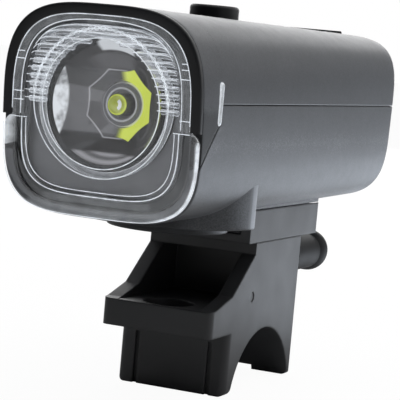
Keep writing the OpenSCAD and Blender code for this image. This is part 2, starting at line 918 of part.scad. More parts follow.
module rail_receiver() {
    lid = receiver_front - over;
    run = rail_rear + fit_gap - lid;
    channel_half = rail_half + slide_gap;
    lip_half = web_half + slide_gap;
    color([0.07, 0.07, 0.075]) difference() {
        translate([-receiver_half, receiver_front, base_top])
            cube([2 * receiver_half, receiver_l, receiver_h + receiver_cheek]);
        along_y(receiver_front - over, receiver_rear + over) section(-fit_gap);
        translate([-channel_half, lid, floor_top]) cube([2 * channel_half, run, lip_z - floor_top]);
        translate([-lip_half, lid, floor_top]) cube([2 * lip_half, run, receiver_h + receiver_cheek]);
        along_z(base_top - over, floor_top + over) catch_window();
        along_z(base_top - over, floor_top + over) small_screw_places() circle(small_screw_r + screw_slack);
        along_z(floor_top - small_head_t - lap, floor_top + lap / 2)
            small_screw_places() circle(small_head_r + screw_slack);
    }
}

module receiver_screws() {
    color([0.7, 0.71, 0.72]) for (s = [-1, 1], y = screw_y) translate([s * screw_x, y, 0]) {
        translate([0, 0, floor_top - small_head_t - lap]) difference() {
            cylinder(r = small_head_r, h = small_head_t);
            for (a = [0, 90]) rotate(a) translate([-small_drive_half, -small_drive_w / 2, small_drive_t])
                cube([2 * small_drive_half, small_drive_w, over]);
        }
        translate([0, 0, base_top - small_screw_l + screw_end])
            cylinder(r = small_screw_r - shank_slack, h = small_shank);
    }
}

module release_lever() {
    color([0.05, 0.05, 0.055]) difference() {
        union() {
            along_x(arm_half) {
                translate([pivot_y, pivot_z]) circle(hub_r);
                translate([pivot_y, arm_z]) square([tab_front - pivot_y + over, arm_t]);
            }
            thumb_bar();
            thumb_neck();
            translate([-catch_half, catch_y, arm_z + arm_t - lap])
                cube([2 * catch_half, catch_l, rail_bottom - catch_gap - arm_z - arm_t + lap]);
        }
        translate([0, pivot_y, pivot_z]) rotate([0, 90, 0])
            cylinder(r = pin_r + pin_gap, h = 3 * arm_half, center = true);
    }
}

module thumb_bar() {
    half = tab_half - tab_r;
    translate([0, tab_back - tab_r, tab_z]) rotate([0, 90, 0]) rotate_extrude() intersection() {
        union() {
            for (s = [-1, 1]) translate([0, s * half]) circle(tab_r);
            translate([-tab_r, -half]) square([2 * tab_r, 2 * half]);
        }
        translate([0, -tab_half]) square([tab_r, 2 * tab_half]);
    }
}

module thumb_neck() {
    half = tab_half - tab_r;
    along_y(tab_front, tab_back - tab_r) {
        for (s = [-1, 1]) translate([s * half, tab_z]) circle(neck_r);
        translate([-half, tab_z - neck_r]) square([2 * half, 2 * neck_r]);
    }
}

module lever_pivot_pin() {
    color([0.72, 0.73, 0.74]) translate([-pin_left, pivot_y, pivot_z]) rotate([0, 90, 0])
        cylinder(r = pin_r, h = pin_left + pin_right);
}

module lever_spring() {
    sides = 8;
    turn_steps = 18;
    steps = spring_turns * turn_steps;
    low = spring_bottom + wire_r + lap / 2;
    rise = spring_top - spring_bottom - 2 * wire_r - lap;
    pitch = rise / spring_turns;
    echo(least_self_gap = pitch - 2 * wire_r);
    points = [for (i = [0 : steps], j = [0 : sides - 1])
        let (t = 360 * i / turn_steps, a = 360 * j / sides, r = spring_r + wire_r * cos(a))
        [r * cos(t), r * sin(t), low + rise * i / steps + wire_r * sin(a)]];
    walls = [for (i = [0 : steps - 1], j = [0 : sides - 1])
        let (k = (j + 1) % sides)
        [i * sides + j, i * sides + k, (i + 1) * sides + k, (i + 1) * sides + j]];
    caps = [[for (j = [sides - 1 : -1 : 0]) j], [for (j = [0 : sides - 1]) steps * sides + j]];
    color([0.75, 0.76, 0.77]) translate([0, spring_y, 0]) polyhedron(points, concat(walls, caps));
}

upper_shell();
lower_shell();
front_bezel();
front_lens();
lens_seal();
baffle_plate();
reflector();
led_collar();
led_emitter();
led_board();
heat_sink();
driver_board();
tactile_switch();
usb_receptacle();
battery_cell();
battery_cradle();
housing_screws();
side_window_right();
side_window_left();
power_button();
button_seal();
port_cover();
bracket_base();
rail_receiver();
receiver_screws();
release_lever();
lever_pivot_pin();
lever_spring();
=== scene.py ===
"""Bike headlight on a slide-in handlebar bracket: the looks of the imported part.

Lengths in the shape functions are millimetres in the part's own frame: the origin is on the handlebar axis,
the beam leaves along -Y and +Z is up. Meshes are written in metres.
"""

import math

import bmesh
import bpy
import numpy as np
from bpy.props import FloatProperty, FloatVectorProperty, IntProperty, PointerProperty
from mathutils import Matrix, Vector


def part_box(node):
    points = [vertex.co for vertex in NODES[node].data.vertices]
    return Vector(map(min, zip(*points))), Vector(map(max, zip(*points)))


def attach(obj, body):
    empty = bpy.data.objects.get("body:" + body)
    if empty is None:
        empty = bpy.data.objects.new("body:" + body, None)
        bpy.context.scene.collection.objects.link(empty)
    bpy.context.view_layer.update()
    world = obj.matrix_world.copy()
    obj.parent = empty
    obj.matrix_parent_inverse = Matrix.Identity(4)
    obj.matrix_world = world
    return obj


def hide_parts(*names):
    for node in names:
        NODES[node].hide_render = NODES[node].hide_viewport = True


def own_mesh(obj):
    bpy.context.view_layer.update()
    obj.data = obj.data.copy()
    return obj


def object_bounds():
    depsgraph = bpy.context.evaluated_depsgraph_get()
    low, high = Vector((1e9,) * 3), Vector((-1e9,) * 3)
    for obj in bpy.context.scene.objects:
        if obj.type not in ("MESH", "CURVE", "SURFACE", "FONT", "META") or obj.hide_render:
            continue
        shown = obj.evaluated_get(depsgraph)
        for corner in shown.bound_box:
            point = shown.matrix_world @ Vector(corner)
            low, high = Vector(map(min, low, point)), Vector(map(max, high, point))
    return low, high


bl_info = {
    "name": "Bike Headlight",
    "version": (1, 0, 0),
    "blender": (4, 5, 0),
    "location": "View3D > Sidebar > Headlight",
    "description": "Dresses the packed bike headlight with shaped pieces, finishes and a studio",
    "category": "Object",
}

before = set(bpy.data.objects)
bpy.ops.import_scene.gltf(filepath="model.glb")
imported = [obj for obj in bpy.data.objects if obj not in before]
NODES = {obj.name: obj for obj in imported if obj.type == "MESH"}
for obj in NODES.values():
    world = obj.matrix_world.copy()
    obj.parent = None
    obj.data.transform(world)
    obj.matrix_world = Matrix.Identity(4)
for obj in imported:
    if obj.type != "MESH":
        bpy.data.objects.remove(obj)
CAD_LOW, CAD_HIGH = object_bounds()
MM = 0.001
SHARP = 32.0
SMALL_R = 0.2


def node_box(name):
    """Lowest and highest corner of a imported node, in millimetres."""
    low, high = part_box(name)
    return np.array(low) / MM, np.array(high) / MM


# Settings


def number_setting(name, description, default):
    """A setting that holds one number: a length in millimetres, or a slope."""
    return FloatProperty(name=name, description=description, default=default)


def colour_setting(name, description, default):
    """A setting that holds a colour."""
    return FloatVectorProperty(name=name, description=description, subtype="COLOR", default=default)


class BodySizes(bpy.types.PropertyGroup):
    """Sizes of the grey body."""

    half_front: number_setting("Half width, front", "Half width of the front face", 19.1)
    half_rear: number_setting("Half width, rear", "Half width near the rear end", 19.0)
    top_front: number_setting("Top, front", "Highest point of the front face", 76.75)
    top_rear: number_setting("Top, rear", "Highest point near the rear end", 76.05)
    low_front: number_setting("Underside, front", "Lowest point of the front face", 39.45)
    low_rear: number_setting("Underside, rear", "Lowest point near the rear end", 40.5)
    rear_round: number_setting("Rear rounding", "Radius of the rear rim", 4.8)
    rear_rake: number_setting("Rear rake", "Slant of the rear face", 0.08)
    band: number_setting("Band depth", "Depth of the bezel ahead of the shells", 1.2)
    seam: number_setting("Parting gap", "Width of the parting line between the shells", 0.14)


class OpticSizes(bpy.types.PropertyGroup):
    """Sizes of the bezel, the lens and its ribs."""

    rib_count: IntProperty(name="Ribs", description="Level ribs in the upper half of the lens", default=11)
    rib_pitch: number_setting("Rib pitch", "Distance from rib to rib", 1.35)
    rib_bend: number_setting("Rib bend", "How far a rib bends down beside the rim", 2.2)
    rib_r: number_setting("Rib radius", "Radius of a rib", 0.5)
    bezel_w: number_setting("Bezel width", "Width of the black band", 1.85)


class Finishes(bpy.types.PropertyGroup):
    """Colours of the finishes."""

    shell: colour_setting("Shell", "Metallic grey of the shells", (0.135, 0.14, 0.15))
    black: colour_setting("Black", "Black of the bracket and bezel", (0.02, 0.0205, 0.022))
    baffle: colour_setting("Baffle", "Grey plate behind the lens", (0.3, 0.305, 0.32))
    phosphor: colour_setting("Phosphor", "Yellow of the light source", (0.62, 0.72, 0.08))


# Mesh helpers


class Form:
    """Collects grids of points and turns them into one closed mesh object."""

    def __init__(self):
        self.points = []
        self.faces = []
        self.count = 0

    def _store(self, p):
        """Keeps points and gives the number of the first one."""
        start = self.count
        p = np.asarray(p, float).reshape(-1, 3)
        self.points.append(p)
        self.count += len(p)
        return start

    def grid(self, p, wrap=False):
        """Quads over a rows by columns grid of points; wrap joins the last column to the first."""
        rows, cols = p.shape[:2]
        start = self._store(p)
        r = np.arange(rows - 1)[:, None]
        c = np.arange(cols if wrap else cols - 1)[None, :]
        d = (c + 1) % cols
        quads = np.stack([r * cols + c, r * cols + d, (r + 1) * cols + d, (r + 1) * cols + c], -1)
        self.faces += (quads.reshape(-1, 4) + start).tolist()

    def face(self, ring):
        """One flat face over a ring of points."""
        start = self._store(ring)
        self.faces.append(list(range(start, start + len(ring))))

    def tube(self, p):
        """A grid of rings with a flat face on its first and last ring."""
        self.grid(p, wrap=True)
        self.face(p[0])
        self.face(p[-1])

    def make(self, name, sharp):
        """The object: doubles merged, faces without area dropped, the others turned outwards."""
        mesh = bpy.data.meshes.new(name)
        mesh.from_pydata((np.concatenate(self.points) * MM).tolist(), [], self.faces)
        bm = bmesh.new()
        bm.from_mesh(mesh)
        bmesh.ops.remove_doubles(bm, verts=bm.verts, dist=2e-7)
        bmesh.ops.dissolve_degenerate(bm, edges=bm.edges, dist=1e-8)
        bmesh.ops.recalc_face_normals(bm, faces=bm.faces)
        bm.to_mesh(mesh)
        bm.free()
        smooth(mesh, sharp)
        mesh.update()
        obj = bpy.data.objects.new(name, mesh)
        bpy.context.scene.collection.objects.link(obj)
        return obj


def smooth(mesh, sharp):
    """Shades a mesh smooth, with edges above the angle kept sharp."""
    mesh.polygons.foreach_set("use_smooth", np.ones(len(mesh.polygons), bool))
    mesh.set_sharp_from_angle(angle=math.radians(sharp))


def built(name, shape, *values, sharp=SHARP):
    """The object that one shape function makes from its values."""
    form = Form()
    shape(form, *values)
    return form.make(name, sharp)


def cut(obj, *cutters):
    """Takes the cutters' closed forms out of the object and removes the cutters."""
    for c in cutters:
        m = obj.modifiers.new("cut", "BOOLEAN")
        m.operation = "DIFFERENCE"
        m.solver = "EXACT"
        m.object = c
    bpy.context.view_layer.update()
    made = bpy.data.meshes.new_from_object(obj.evaluated_get(bpy.context.evaluated_depsgraph_get()))
    obj.modifiers.clear()
    old, obj.data = obj.data, made
    made.name = old.name
    bpy.data.meshes.remove(old)
    for c in cutters:
        bpy.data.objects.remove(c)
    smooth(made, SHARP)


def mark(obj, name, rule):
    """Stores a value per point, worked out by a rule from the points' X, Y and Z in millimetres."""
    mesh = obj.data
    p = np.empty(len(mesh.vertices) * 3)
    mesh.vertices.foreach_get("co", p)
    x, y, z = p.reshape(-1, 3).T / MM
    value = mesh.attributes.new(name, "FLOAT", "POINT")
    value.data.foreach_set("value", np.clip(rule(x, y, z), 0, 1).astype(np.float32))


def even(value):
    """A rule that gives every point the same value."""
    return lambda x, y, z: np.full_like(x, value)


def fade(distance, run):
    """Nought to one as a distance grows from nought to the run."""
    return np.clip(distance / run, 0, 1)


def turned(p, axis):
    """Points written as (across, along, level) laid so that level runs along the named axis."""
    order = {"z": (0, 1, 2), "x": (2, 0, 1), "y": (0, 2, 1)}[axis]
    return p[..., list(order)]


def outward(outline):
    """Unit normals of a closed outline that runs counter-clockwise, from central differences."""
    t = np.roll(outline, -1, 0) - np.roll(outline, 1, 0)
    n = np.stack([t[:, 1], -t[:, 0]], 1)
    return n / np.maximum(np.linalg.norm(n, axis=1, keepdims=True), 1e-9)


def slab(form, outline, lo, hi, r_lo, r_hi, axis="z", steps=6):
    """An outline carried along an axis from lo to hi with rounded rims: row by row it moves in by
    r(1 - sin a) while the level follows r(1 - cos a), and the same again, turned over, at the far rim."""
    a = quarter(steps)
    inset = np.concatenate([r_lo * (1 - np.sin(a)), r_hi * (1 - np.cos(a))])
    level = np.concatenate([lo + r_lo * (1 - np.cos(a)), hi - r_hi + r_hi * np.sin(a)])
    flat = outline[None] - outward(outline)[None] * inset[:, None, None]
    p = np.concatenate([flat, np.broadcast_to(level[:, None, None], flat.shape[:2] + (1,))], 2)
    form.tube(turned(p, axis))


def revolve(form, profile, centre, axis, steps):
    """A closed profile of (radius, level) turned about an axis through the centre."""
    t = around(steps)
    r, level = profile[:, 0], profile[:, 1]
    across = centre[0] + np.outer(r, np.cos(t))
    along = centre[1] + np.outer(r, np.sin(t))
    p = np.stack([across, along, np.repeat(level[:, None], steps, 1)], 2)
    form.grid(turned(p, axis), wrap=True)


def around(steps):
    """Angles evenly round a circle."""
    return np.linspace(0, 2 * np.pi, steps, endpoint=False)


def quarter(steps):
    """Angles from nought to a right angle."""
    return np.linspace(0, np.pi / 2, steps)


def arc(cx, cy, r, start, end, steps=8):
    """Points on a circle from one angle to another, in degrees."""
    a = np.radians(np.linspace(start, end, steps))
    return np.stack([cx + r * np.cos(a), cy + r * np.sin(a)], 1)


def circle(cx, cy, r, steps):
    """Points evenly round a circle."""
    return arc(cx, cy, r, 0, 360, steps + 1)[:-1]


def rounded_rect(x0, x1, y0, y1, r):
    """Outline of a rectangle with four round corners, counter-clockwise."""
    return np.concatenate(
        [
            arc(x1 - r, y0 + r, r, -90, 0),
            arc(x1 - r, y1 - r, r, 0, 90),
            arc(x0 + r, y1 - r, r, 90, 180),
            arc(x0 + r, y0 + r, r, 180, 270),
        ]
    )


def bead(form, path, r, closed=False):
    """A round line of radius r along a path in the raked front plane: at each point a ring is laid across
    the path, spanned by the plane's normal and by the cross product of the path's direction and it."""
    sides = 8
    along = np.roll(path, -1, 0) - np.roll(path, 1, 0) if closed else np.gradient(path, axis=0)
    side = np.cross(along, FACE_OUT)
    side /= np.maximum(np.linalg.norm(side, axis=1, keepdims=True), 1e-9)
    a = around(sides)[None, :, None]
    rings = path[:, None] + r * (np.cos(a) * side[:, None] + np.sin(a) * FACE_OUT)
    if closed:
        form.grid(np.concatenate([rings, rings[:1]]), wrap=True)
    else:
        form.tube(rings)


# Places and sizes of the body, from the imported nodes

SHELL_LOW, SHELL_HIGH = node_box("upper_shell")
LENS_LOW = node_box("front_lens")[0]
BEZEL_LOW, BEZEL_HIGH = node_box("front_bezel")
WINDOW_LOW, WINDOW_HIGH = node_box("side_window_right")
BUTTON_LOW, BUTTON_HIGH = node_box("power_button")
COVER_LOW, COVER_HIGH = node_box("port_cover")
BOWL_LOW, BOWL_HIGH = node_box("reflector")
COLLAR_LOW, COLLAR_HIGH = node_box("led_collar")
SOURCE_LOW, SOURCE_HIGH = node_box("led_emitter")

RAKE = 0.09
HALF_W = SHELL_HIGH[0]
BODY_TOP, BODY_LOW = BEZEL_HIGH[2], LENS_LOW[2]
MID_Z = (BODY_TOP + BODY_LOW) / 2
FRONT_Y = BEZEL_LOW[1] + RAKE * (BODY_TOP - MID_Z)
SHELL_FRONT, BODY_REAR = SHELL_LOW[1], SHELL_HIGH[1]
CORE_Z = MID_Z - 0.75
WINDOW_FLANGE = 0.4
WINDOW_Y, WINDOW_Z = (WINDOW_LOW[1:] + WINDOW_HIGH[1:]) / 2
WINDOW_W, WINDOW_L = WINDOW_HIGH[1:] - WINDOW_LOW[1:] - 2 * WINDOW_FLANGE
WINDOW_RUN = WINDOW_L / 2 - WINDOW_W / 2
SKIRT_Z = SHELL_LOW[2]
PARTING_Z = WINDOW_Z - 0.1
BEAM_Z = (BOWL_LOW[2] + BOWL_HIGH[2]) / 2
BIB_Z = BEZEL_LOW[2]
BUTTON_FLANGE = 1.0
BUTTON_Y = (BUTTON_LOW[1] + BUTTON_HIGH[1]) / 2
BUTTON_R = BUTTON_HIGH[0] - BUTTON_FLANGE
FACE_OUT = np.array([0.0, -1.0, -RAKE]) / math.hypot(1.0, RAKE)

# Exponents of the body's section at the front, and how they change towards the rear
UPPER_POWER, UPPER_POWER_GAIN = 3.35, 1.2
LOWER_POWER, LOWER_POWER_LOSS = 4.0, 0.3

# Shell: wall, rims, parting edges and the points round it
SHELL_WALL, SHELL_COLUMNS = 1.8, 168
FRONT_RIM_R, REAR_PROUD, LEAST_REAR_R = 0.25, 0.2, 1.0
RAKE_AHEAD, LEAN_RUN = 2.0, 22.0
SLANT_GAP, PARTING_R = 0.26, 0.1
EDGE_STEPS = np.array([0, 0.05, 0.12, 0.22, 0.36])
EDGE_LEAD = 1.6


def front_at(z):
    """The raked front plane."""
    return FRONT_Y - RAKE * (z - MID_Z)


def body_at(y):
    """Half width, height above and depth below the core line, and two exponents, at a station along Y."""
    s = bpy.context.scene.body_sizes
    u = (np.asarray(y, float) - FRONT_Y) / (BODY_REAR - FRONT_Y)
    half = s.half_front + (s.half_rear - s.half_front) * u
    up = s.top_front + (s.top_rear - s.top_front) * u - CORE_Z
    low = CORE_Z - s.low_front - (s.low_rear - s.low_front) * u
    return half, up, low, UPPER_POWER + UPPER_POWER_GAIN * u, LOWER_POWER - LOWER_POWER_LOSS * u


def section(theta, y, inset=0.0):
    """X and Z of the body's section: a superellipse in polar form, |c/a|^n + |s/b|^n = r^-n, whose height
    and exponent differ above and below the core line."""
    a, up, low, n_up, n_low = body_at(y)
    c, s = np.cos(theta), np.sin(theta)
    b = np.where(s >= 0, up, low) - inset
    n = np.where(s >= 0, n_up, n_low)
    r = (np.abs(c / (a - inset)) ** n + np.abs(s / b) ** n) ** (-1 / n)
    return r * c, CORE_Z + r * s


def angle_at(z, y, inset=0.0):
    """Polar angle on the right side where the section passes height z."""
    a, up, low, n_up, n_low = body_at(y)
    h = z - CORE_Z
    b = np.where(h >= 0, up, low) - inset
    n = np.where(h >= 0, n_up, n_low)
    x = (a - inset) * (1 - np.abs(h / b) ** n) ** (1 / n)
    return np.arctan2(h, x)


def parting_at(y):
    """Height of the parting line: level behind the side window, falling in a straight slant ahead of it to
    the height of the skirt at the shell's front rim."""
    low = WINDOW_Z - WINDOW_L / 2
    front = front_at(SKIRT_Z) + bpy.context.scene.body_sizes.band
    slant = SKIRT_Z + (low - SKIRT_Z) * (y - front) / (WINDOW_Y - front)
    return np.where(y < WINDOW_Y, slant, PARTING_Z)


def stations(wall):
    """Stations along Y and the inset of each: a small round front rim, an even run with a short step at the
    side window's middle, and the round rear rim."""
    s = bpy.context.scene.body_sizes
    rear, r = BODY_REAR + REAR_PROUD - wall, max(s.rear_round - wall, LEAST_REAR_R)
    step = 0.01
    a = quarter(5)
    front = FRONT_Y + s.band
    front_y, front_in = front + FRONT_RIM_R * (1 - np.cos(a)), FRONT_RIM_R * (1 - np.sin(a))
    ahead = np.linspace(front + FRONT_RIM_R, WINDOW_Y - step, 10)[1:]
    behind = np.linspace(WINDOW_Y, rear - r, 42)[1:]
    b = quarter(14)[1:]
    y = np.concatenate([front_y, ahead, [WINDOW_Y + step], behind, rear - r + r * np.sin(b)])
    flat = np.zeros(len(ahead) + 1 + len(behind))
    inset = np.concatenate([front_in * (wall == 0), flat, r * (1 - np.cos(b))])
    return y, inset + wall


def lean(y, z):
    """Stations shifted along Y: the front rim follows the raked front, and the rear face leans back."""
    s = bpy.context.scene.body_sizes
    start = WINDOW_Y - RAKE_AHEAD
    ahead = fade(start - y, start - FRONT_Y - s.band)
    behind = fade(y - BODY_REAR + LEAN_RUN, LEAN_RUN)
    return y - ahead * RAKE * (z - MID_Z) + behind**2 * s.rear_rake * (z - MID_Z)


def shell_skin(upper, wall):
    """One skin of a shell: stations along Y by angles round the section from parting line to parting line,
    closer together along the rounded parting edges. The last rows draw in to the point where the parting
    line meets the rear face."""
    s = bpy.context.scene.body_sizes
    y, inset = stations(wall)
    half_gap = np.where(y < WINDOW_Y, SLANT_GAP, s.seam / 2)
    zp = parting_at(y) + (half_gap if upper else -half_gap)
    start = angle_at(zp, y, inset)
    lo, hi = (start, np.pi - start) if upper else (np.pi - start, 2 * np.pi + start)
    lo, hi = lo[:, None], hi[:, None]
    edge = EDGE_STEPS / HALF_W
    lead = EDGE_LEAD * edge[-1]
    inner = lo + lead + (hi - lo - 2 * lead) * np.linspace(0, 1, SHELL_COLUMNS - 2 * len(edge))[None]
    theta = np.concatenate([lo + edge[None], inner, hi - edge[None, ::-1]], 1)
    away = np.minimum(theta - lo, hi - theta) * HALF_W
    dip = PARTING_R - np.sqrt(np.maximum(PARTING_R**2 - np.maximum(PARTING_R - away, 0) ** 2, 0))
    x, z = section(theta, y[:, None], inset[:, None] + (dip if wall == 0 else 0))
    p = np.stack([x, np.broadcast_to(y[:, None], x.shape), z], 2)
    k = np.linspace(1, 0, 12)[1:, None, None]
    core = np.array([0, y[-1], zp[-1]])
    p = np.concatenate([p, core + (p[-1] - core)[None] * k])
    p[..., 1] = lean(p[..., 1], p[..., 2])
    return p


def shell_form(form, upper):
    """A shell with its wall: outer and inner skin, joined along the front rim and both parting edges."""
    out, inn = shell_skin(upper, 0.0), shell_skin(upper, SHELL_WALL)
    form.grid(out)
    form.grid(inn)
    form.grid(np.stack([out[0], inn[0]]))
    form.grid(np.stack([out[:, 0], inn[:, 0]]))
    form.grid(np.stack([out[:, -1], inn[:, -1]]))


def window_outline(grow):
    """Upright slot with round ends, as (Y, Z)."""
    r = WINDOW_W / 2 + grow
    top = arc(WINDOW_Y, WINDOW_Z + WINDOW_RUN, r, 0, 180, 14)
    bottom = arc(WINDOW_Y, WINDOW_Z - WINDOW_RUN, r, 180, 360, 14)
    return np.concatenate([top, bottom])


def window_cutter():
    """The slot, a small gap wider than its pane, carried right through both sides of the body."""
    gap, reach = 0.1, 30.0
    return built("window_cutter", slab, window_outline(gap), -reach, reach, 0, 0, "x", 2)


# Shading helpers


def math_method(op, swap=False):
    """A method that adds one Math node for its value and another, in that order or exchanged."""

    def method(self, other=0.0):
        pair = (other, self) if swap else (self, other)
        return self.look.node("ShaderNodeMath", {"operation": op}, dict(enumerate(pair)))

    return method


class Val:
    """A value socket that takes Python arithmetic; each operation adds one Math node."""

    def __init__(self, look, socket):
        self.look, self.socket = look, socket

    __add__, __radd__ = math_method("ADD"), math_method("ADD", True)
    __sub__, __rsub__ = math_method("SUBTRACT"), math_method("SUBTRACT", True)
    __mul__, __rmul__ = math_method("MULTIPLY"), math_method("MULTIPLY", True)
    __truediv__, __rtruediv__ = math_method("DIVIDE"), math_method("DIVIDE", True)
    __pow__, __rpow__ = math_method("POWER"), math_method("POWER", True)
    most = math_method("MAXIMUM")
    angle = math_method("ARCTAN2")
    fold = math_method("PINGPONG")
    cosine = math_method("COSINE")
    size = math_method("ABSOLUTE")

    def step(self, low, high):
        """Smooth step from 0 at low to 1 at high."""
        sockets = {"Value": self, "From Min": low, "From Max": high, "To Min": 0.0, "To Max": 1.0}
        return self.look.node("ShaderNodeMapRange", {"interpolation_type": "SMOOTHSTEP"}, sockets)

    def within(self, low, high, soft):
        """One between low and high, falling smoothly to nought over a soft run inside each end."""
        return self.step(low, low + soft) * self.step(high, high - soft)


class Look:
    """A material, or the world, under construction."""

    def __init__(self, name, kind="materials", end="ShaderNodeOutputMaterial"):
        self.data = getattr(bpy.data, kind).new(name)
        self.data.use_nodes = True
        self.tree = self.data.node_tree
        self.tree.nodes.clear()
        self.out = self.tree.nodes.new(end)

    def node(self, kind, settings=None, sockets=None, out=0):
        """Adds a node, with its settings and with values or links for its sockets, and gives one output."""
        n = self.tree.nodes.new(kind)
        for key, value in (settings or {}).items():
            if key == "stops":
                elements = n.color_ramp.elements
                while len(elements) < len(value):
                    elements.new(0.5)
                for e, (at, shade) in zip(elements, value):
                    e.position, e.color = at, (*shade, 1)
            else:
                setattr(n, key, value)
        for key, value in (sockets or {}).items():
            if isinstance(value, Val):
                self.tree.links.new(value.socket, n.inputs[key])
            else:
                n.inputs[key].default_value = value
        return Val(self, n.outputs[out])

    def place(self):
        """The point's place, in metres."""
        return self.node("ShaderNodeTexCoord", out="Object")

    def beam(self):
        """X and Z from the beam's axis and the radius round it, in millimetres."""
        parts = self.node("ShaderNodeSeparateXYZ", {}, {0: self.place()}).socket.node.outputs
        x, z = Val(self, parts["X"]) / MM, Val(self, parts["Z"]) / MM - BEAM_Z
        return x, z, (x * x + z * z) ** 0.5

    def stored(self, name):
        """A value that was stored on the piece's points; nought where it carries none."""
        return self.node("ShaderNodeAttribute", {"attribute_name": name}, out="Fac")

    def seen(self):
        """One for what the camera sees, also through clear pieces, and nought for other light."""
        rays = self.node("ShaderNodeLightPath").socket.node.outputs
        return Val(self, rays["Is Camera Ray"]).most(Val(self, rays["Is Transmission Ray"]))

    def noise(self, scale, detail=2.0, where=None, rough=0.5):
        """Soft noise; the scale is in spots per metre."""
        sockets = {"Vector": where or self.place(), "Scale": scale, "Detail": detail, "Roughness": rough}
        return self.node("ShaderNodeTexNoise", {"noise_dimensions": "3D"}, sockets)

    def ramp(self, fac, *stops):
        """A colour that runs through stops, each with a place and a colour."""
        return self.node("ShaderNodeValToRGB", {"stops": stops}, {0: fac})

    def tones(self, fac, shade, low, high):
        """A colour between two multiples of itself, as the factor runs from 0.3 to 0.7."""
        return self.ramp(fac, (0.3, [v * low for v in shade]), (0.7, [v * high for v in shade]))

    def mix(self, fac, a, b):
        """Mix of two colours."""
        settings = {"data_type": "RGBA", "blend_type": "MIX"}
        return self.node("ShaderNodeMix", settings, {0: fac, 6: a, 7: b}, out=2)

    def blend(self, fac, a, b):
        """Mix of two shaders."""
        return self.node("ShaderNodeMixShader", {}, {0: fac, 1: a, 2: b})

    def edge(self, radius):
        """A normal that rounds sharp edges by a small radius."""
        return self.node("ShaderNodeBevel", {"samples": 6}, {"Radius": radius})

    def bump(self, height, strength, distance, **normal):
        """A normal tilted by a height, on top of another normal if one is given."""
        sockets = {"Height": height, "Strength": strength, "Distance": distance, **normal}
        return self.node("ShaderNodeBump", {}, sockets)

    def surface(self, **sockets):
        """A Principled surface; values are set on its own sockets, and links feed what varies."""
        names = {k.replace("_", " "): v for k, v in sockets.items()}
        return self.node("ShaderNodeBsdfPrincipled", {}, names)

    def done(self, shader):
        """Ends the material with its shader."""
        self.tree.links.new(shader.socket, self.out.inputs["Surface"])
        return self.data


def rgba(c):
    """A colour with full cover."""
    return (*tuple(c)[:3], 1.0)


# Finishes


def shell_paint(name):
    """Satin grey with fine metal flake, slightly mottled, with a soft moulded surface. The stored painted
    shade value takes the flake away and darkens the grey, and the stored value lit lightens it as painted
    light."""
    k = Look(name)
    flake = k.node("ShaderNodeTexVoronoi", {}, {"Vector": k.place(), "Scale": 5200.0}, out="Color")
    spark = k.node("ShaderNodeRGBToBW", {}, {0: flake})
    cloud = k.noise(60.0, 3.0)
    # Painted shade darkens the grey and painted light lightens it, by values stored on the points.
    tone = (spark * 0.22 + cloud * 0.16) * (1.0 - k.stored("dull")) + k.stored("lit") * 0.6
    levels = ((0.0, 0.22), (0.08, 0.85), (0.4, 1.28), (1.0, 4.5))
    grey = bpy.context.scene.finishes.shell
    shade = k.ramp(tone, *((at, [v * level for v in grey]) for at, level in levels))
    rough = 0.36 + k.noise(420.0) * 0.1
    normal = k.bump(k.noise(3600.0), 0.12, 0.00004, Normal=k.edge(0.0003))
    return k.done(k.surface(Base_Color=shade, Metallic=0.35, Roughness=rough, Normal=normal, IOR=1.5))


def black_plastic(name, scale, bump, rough, radius, tone=1.0, ior=1.5):
    """Black moulded plastic: fine grain, a little cloudiness and handling sheen, rounded edges."""
    k = Look(name)
    shade = k.tones(k.noise(45.0, 4.0), [v * tone for v in bpy.context.scene.finishes.black], 0.8, 1.3)
    grain = k.noise(scale, 3.0, rough=0.6)
    level = rough - 0.06 + k.noise(160.0, 3.0) * 0.12
    normal = k.bump(grain, bump, 0.00006, Normal=k.edge(radius))
    return k.done(k.surface(Base_Color=shade, Roughness=level, Normal=normal, IOR=ior))


def clear_plastic(name):
    """Clear polished plastic with faint moulding ripple; it lets lamp light through to what lies behind.
    Where the piece carries the value glint it turns, in streaks, into a glowing white: painted highlights
    where its edges would gather light."""
    tint = (0.97, 0.98, 1.0)
    k = Look(name)
    normal = k.bump(k.noise(240.0), 0.05, 0.0002)
    level = 0.02 + k.noise(900.0) * 0.03
    glass = k.surface(
        Base_Color=rgba(tint), Roughness=level, Normal=normal, Transmission_Weight=1.0, IOR=1.49
    )
    clear = k.node("ShaderNodeBsdfTransparent", {}, {"Color": rgba([0.93 * t for t in tint])})
    through = k.blend(k.node("ShaderNodeLightPath", out="Is Shadow Ray"), glass, clear)
    white = k.surface(
        Base_Color=(0.8, 0.82, 0.85, 1),
        Roughness=0.25,
        Emission_Color=(0.9, 0.95, 1, 1),
        Emission_Strength=0.55,
    )
    # Painted highlights: a glowing white in streaks, as much as the stored glint.
    streak = k.noise(420.0, 3.0).step(0.36, 0.62) * 0.4 + 0.6
    return k.done(k.blend(k.stored("glint") * streak, through, white))


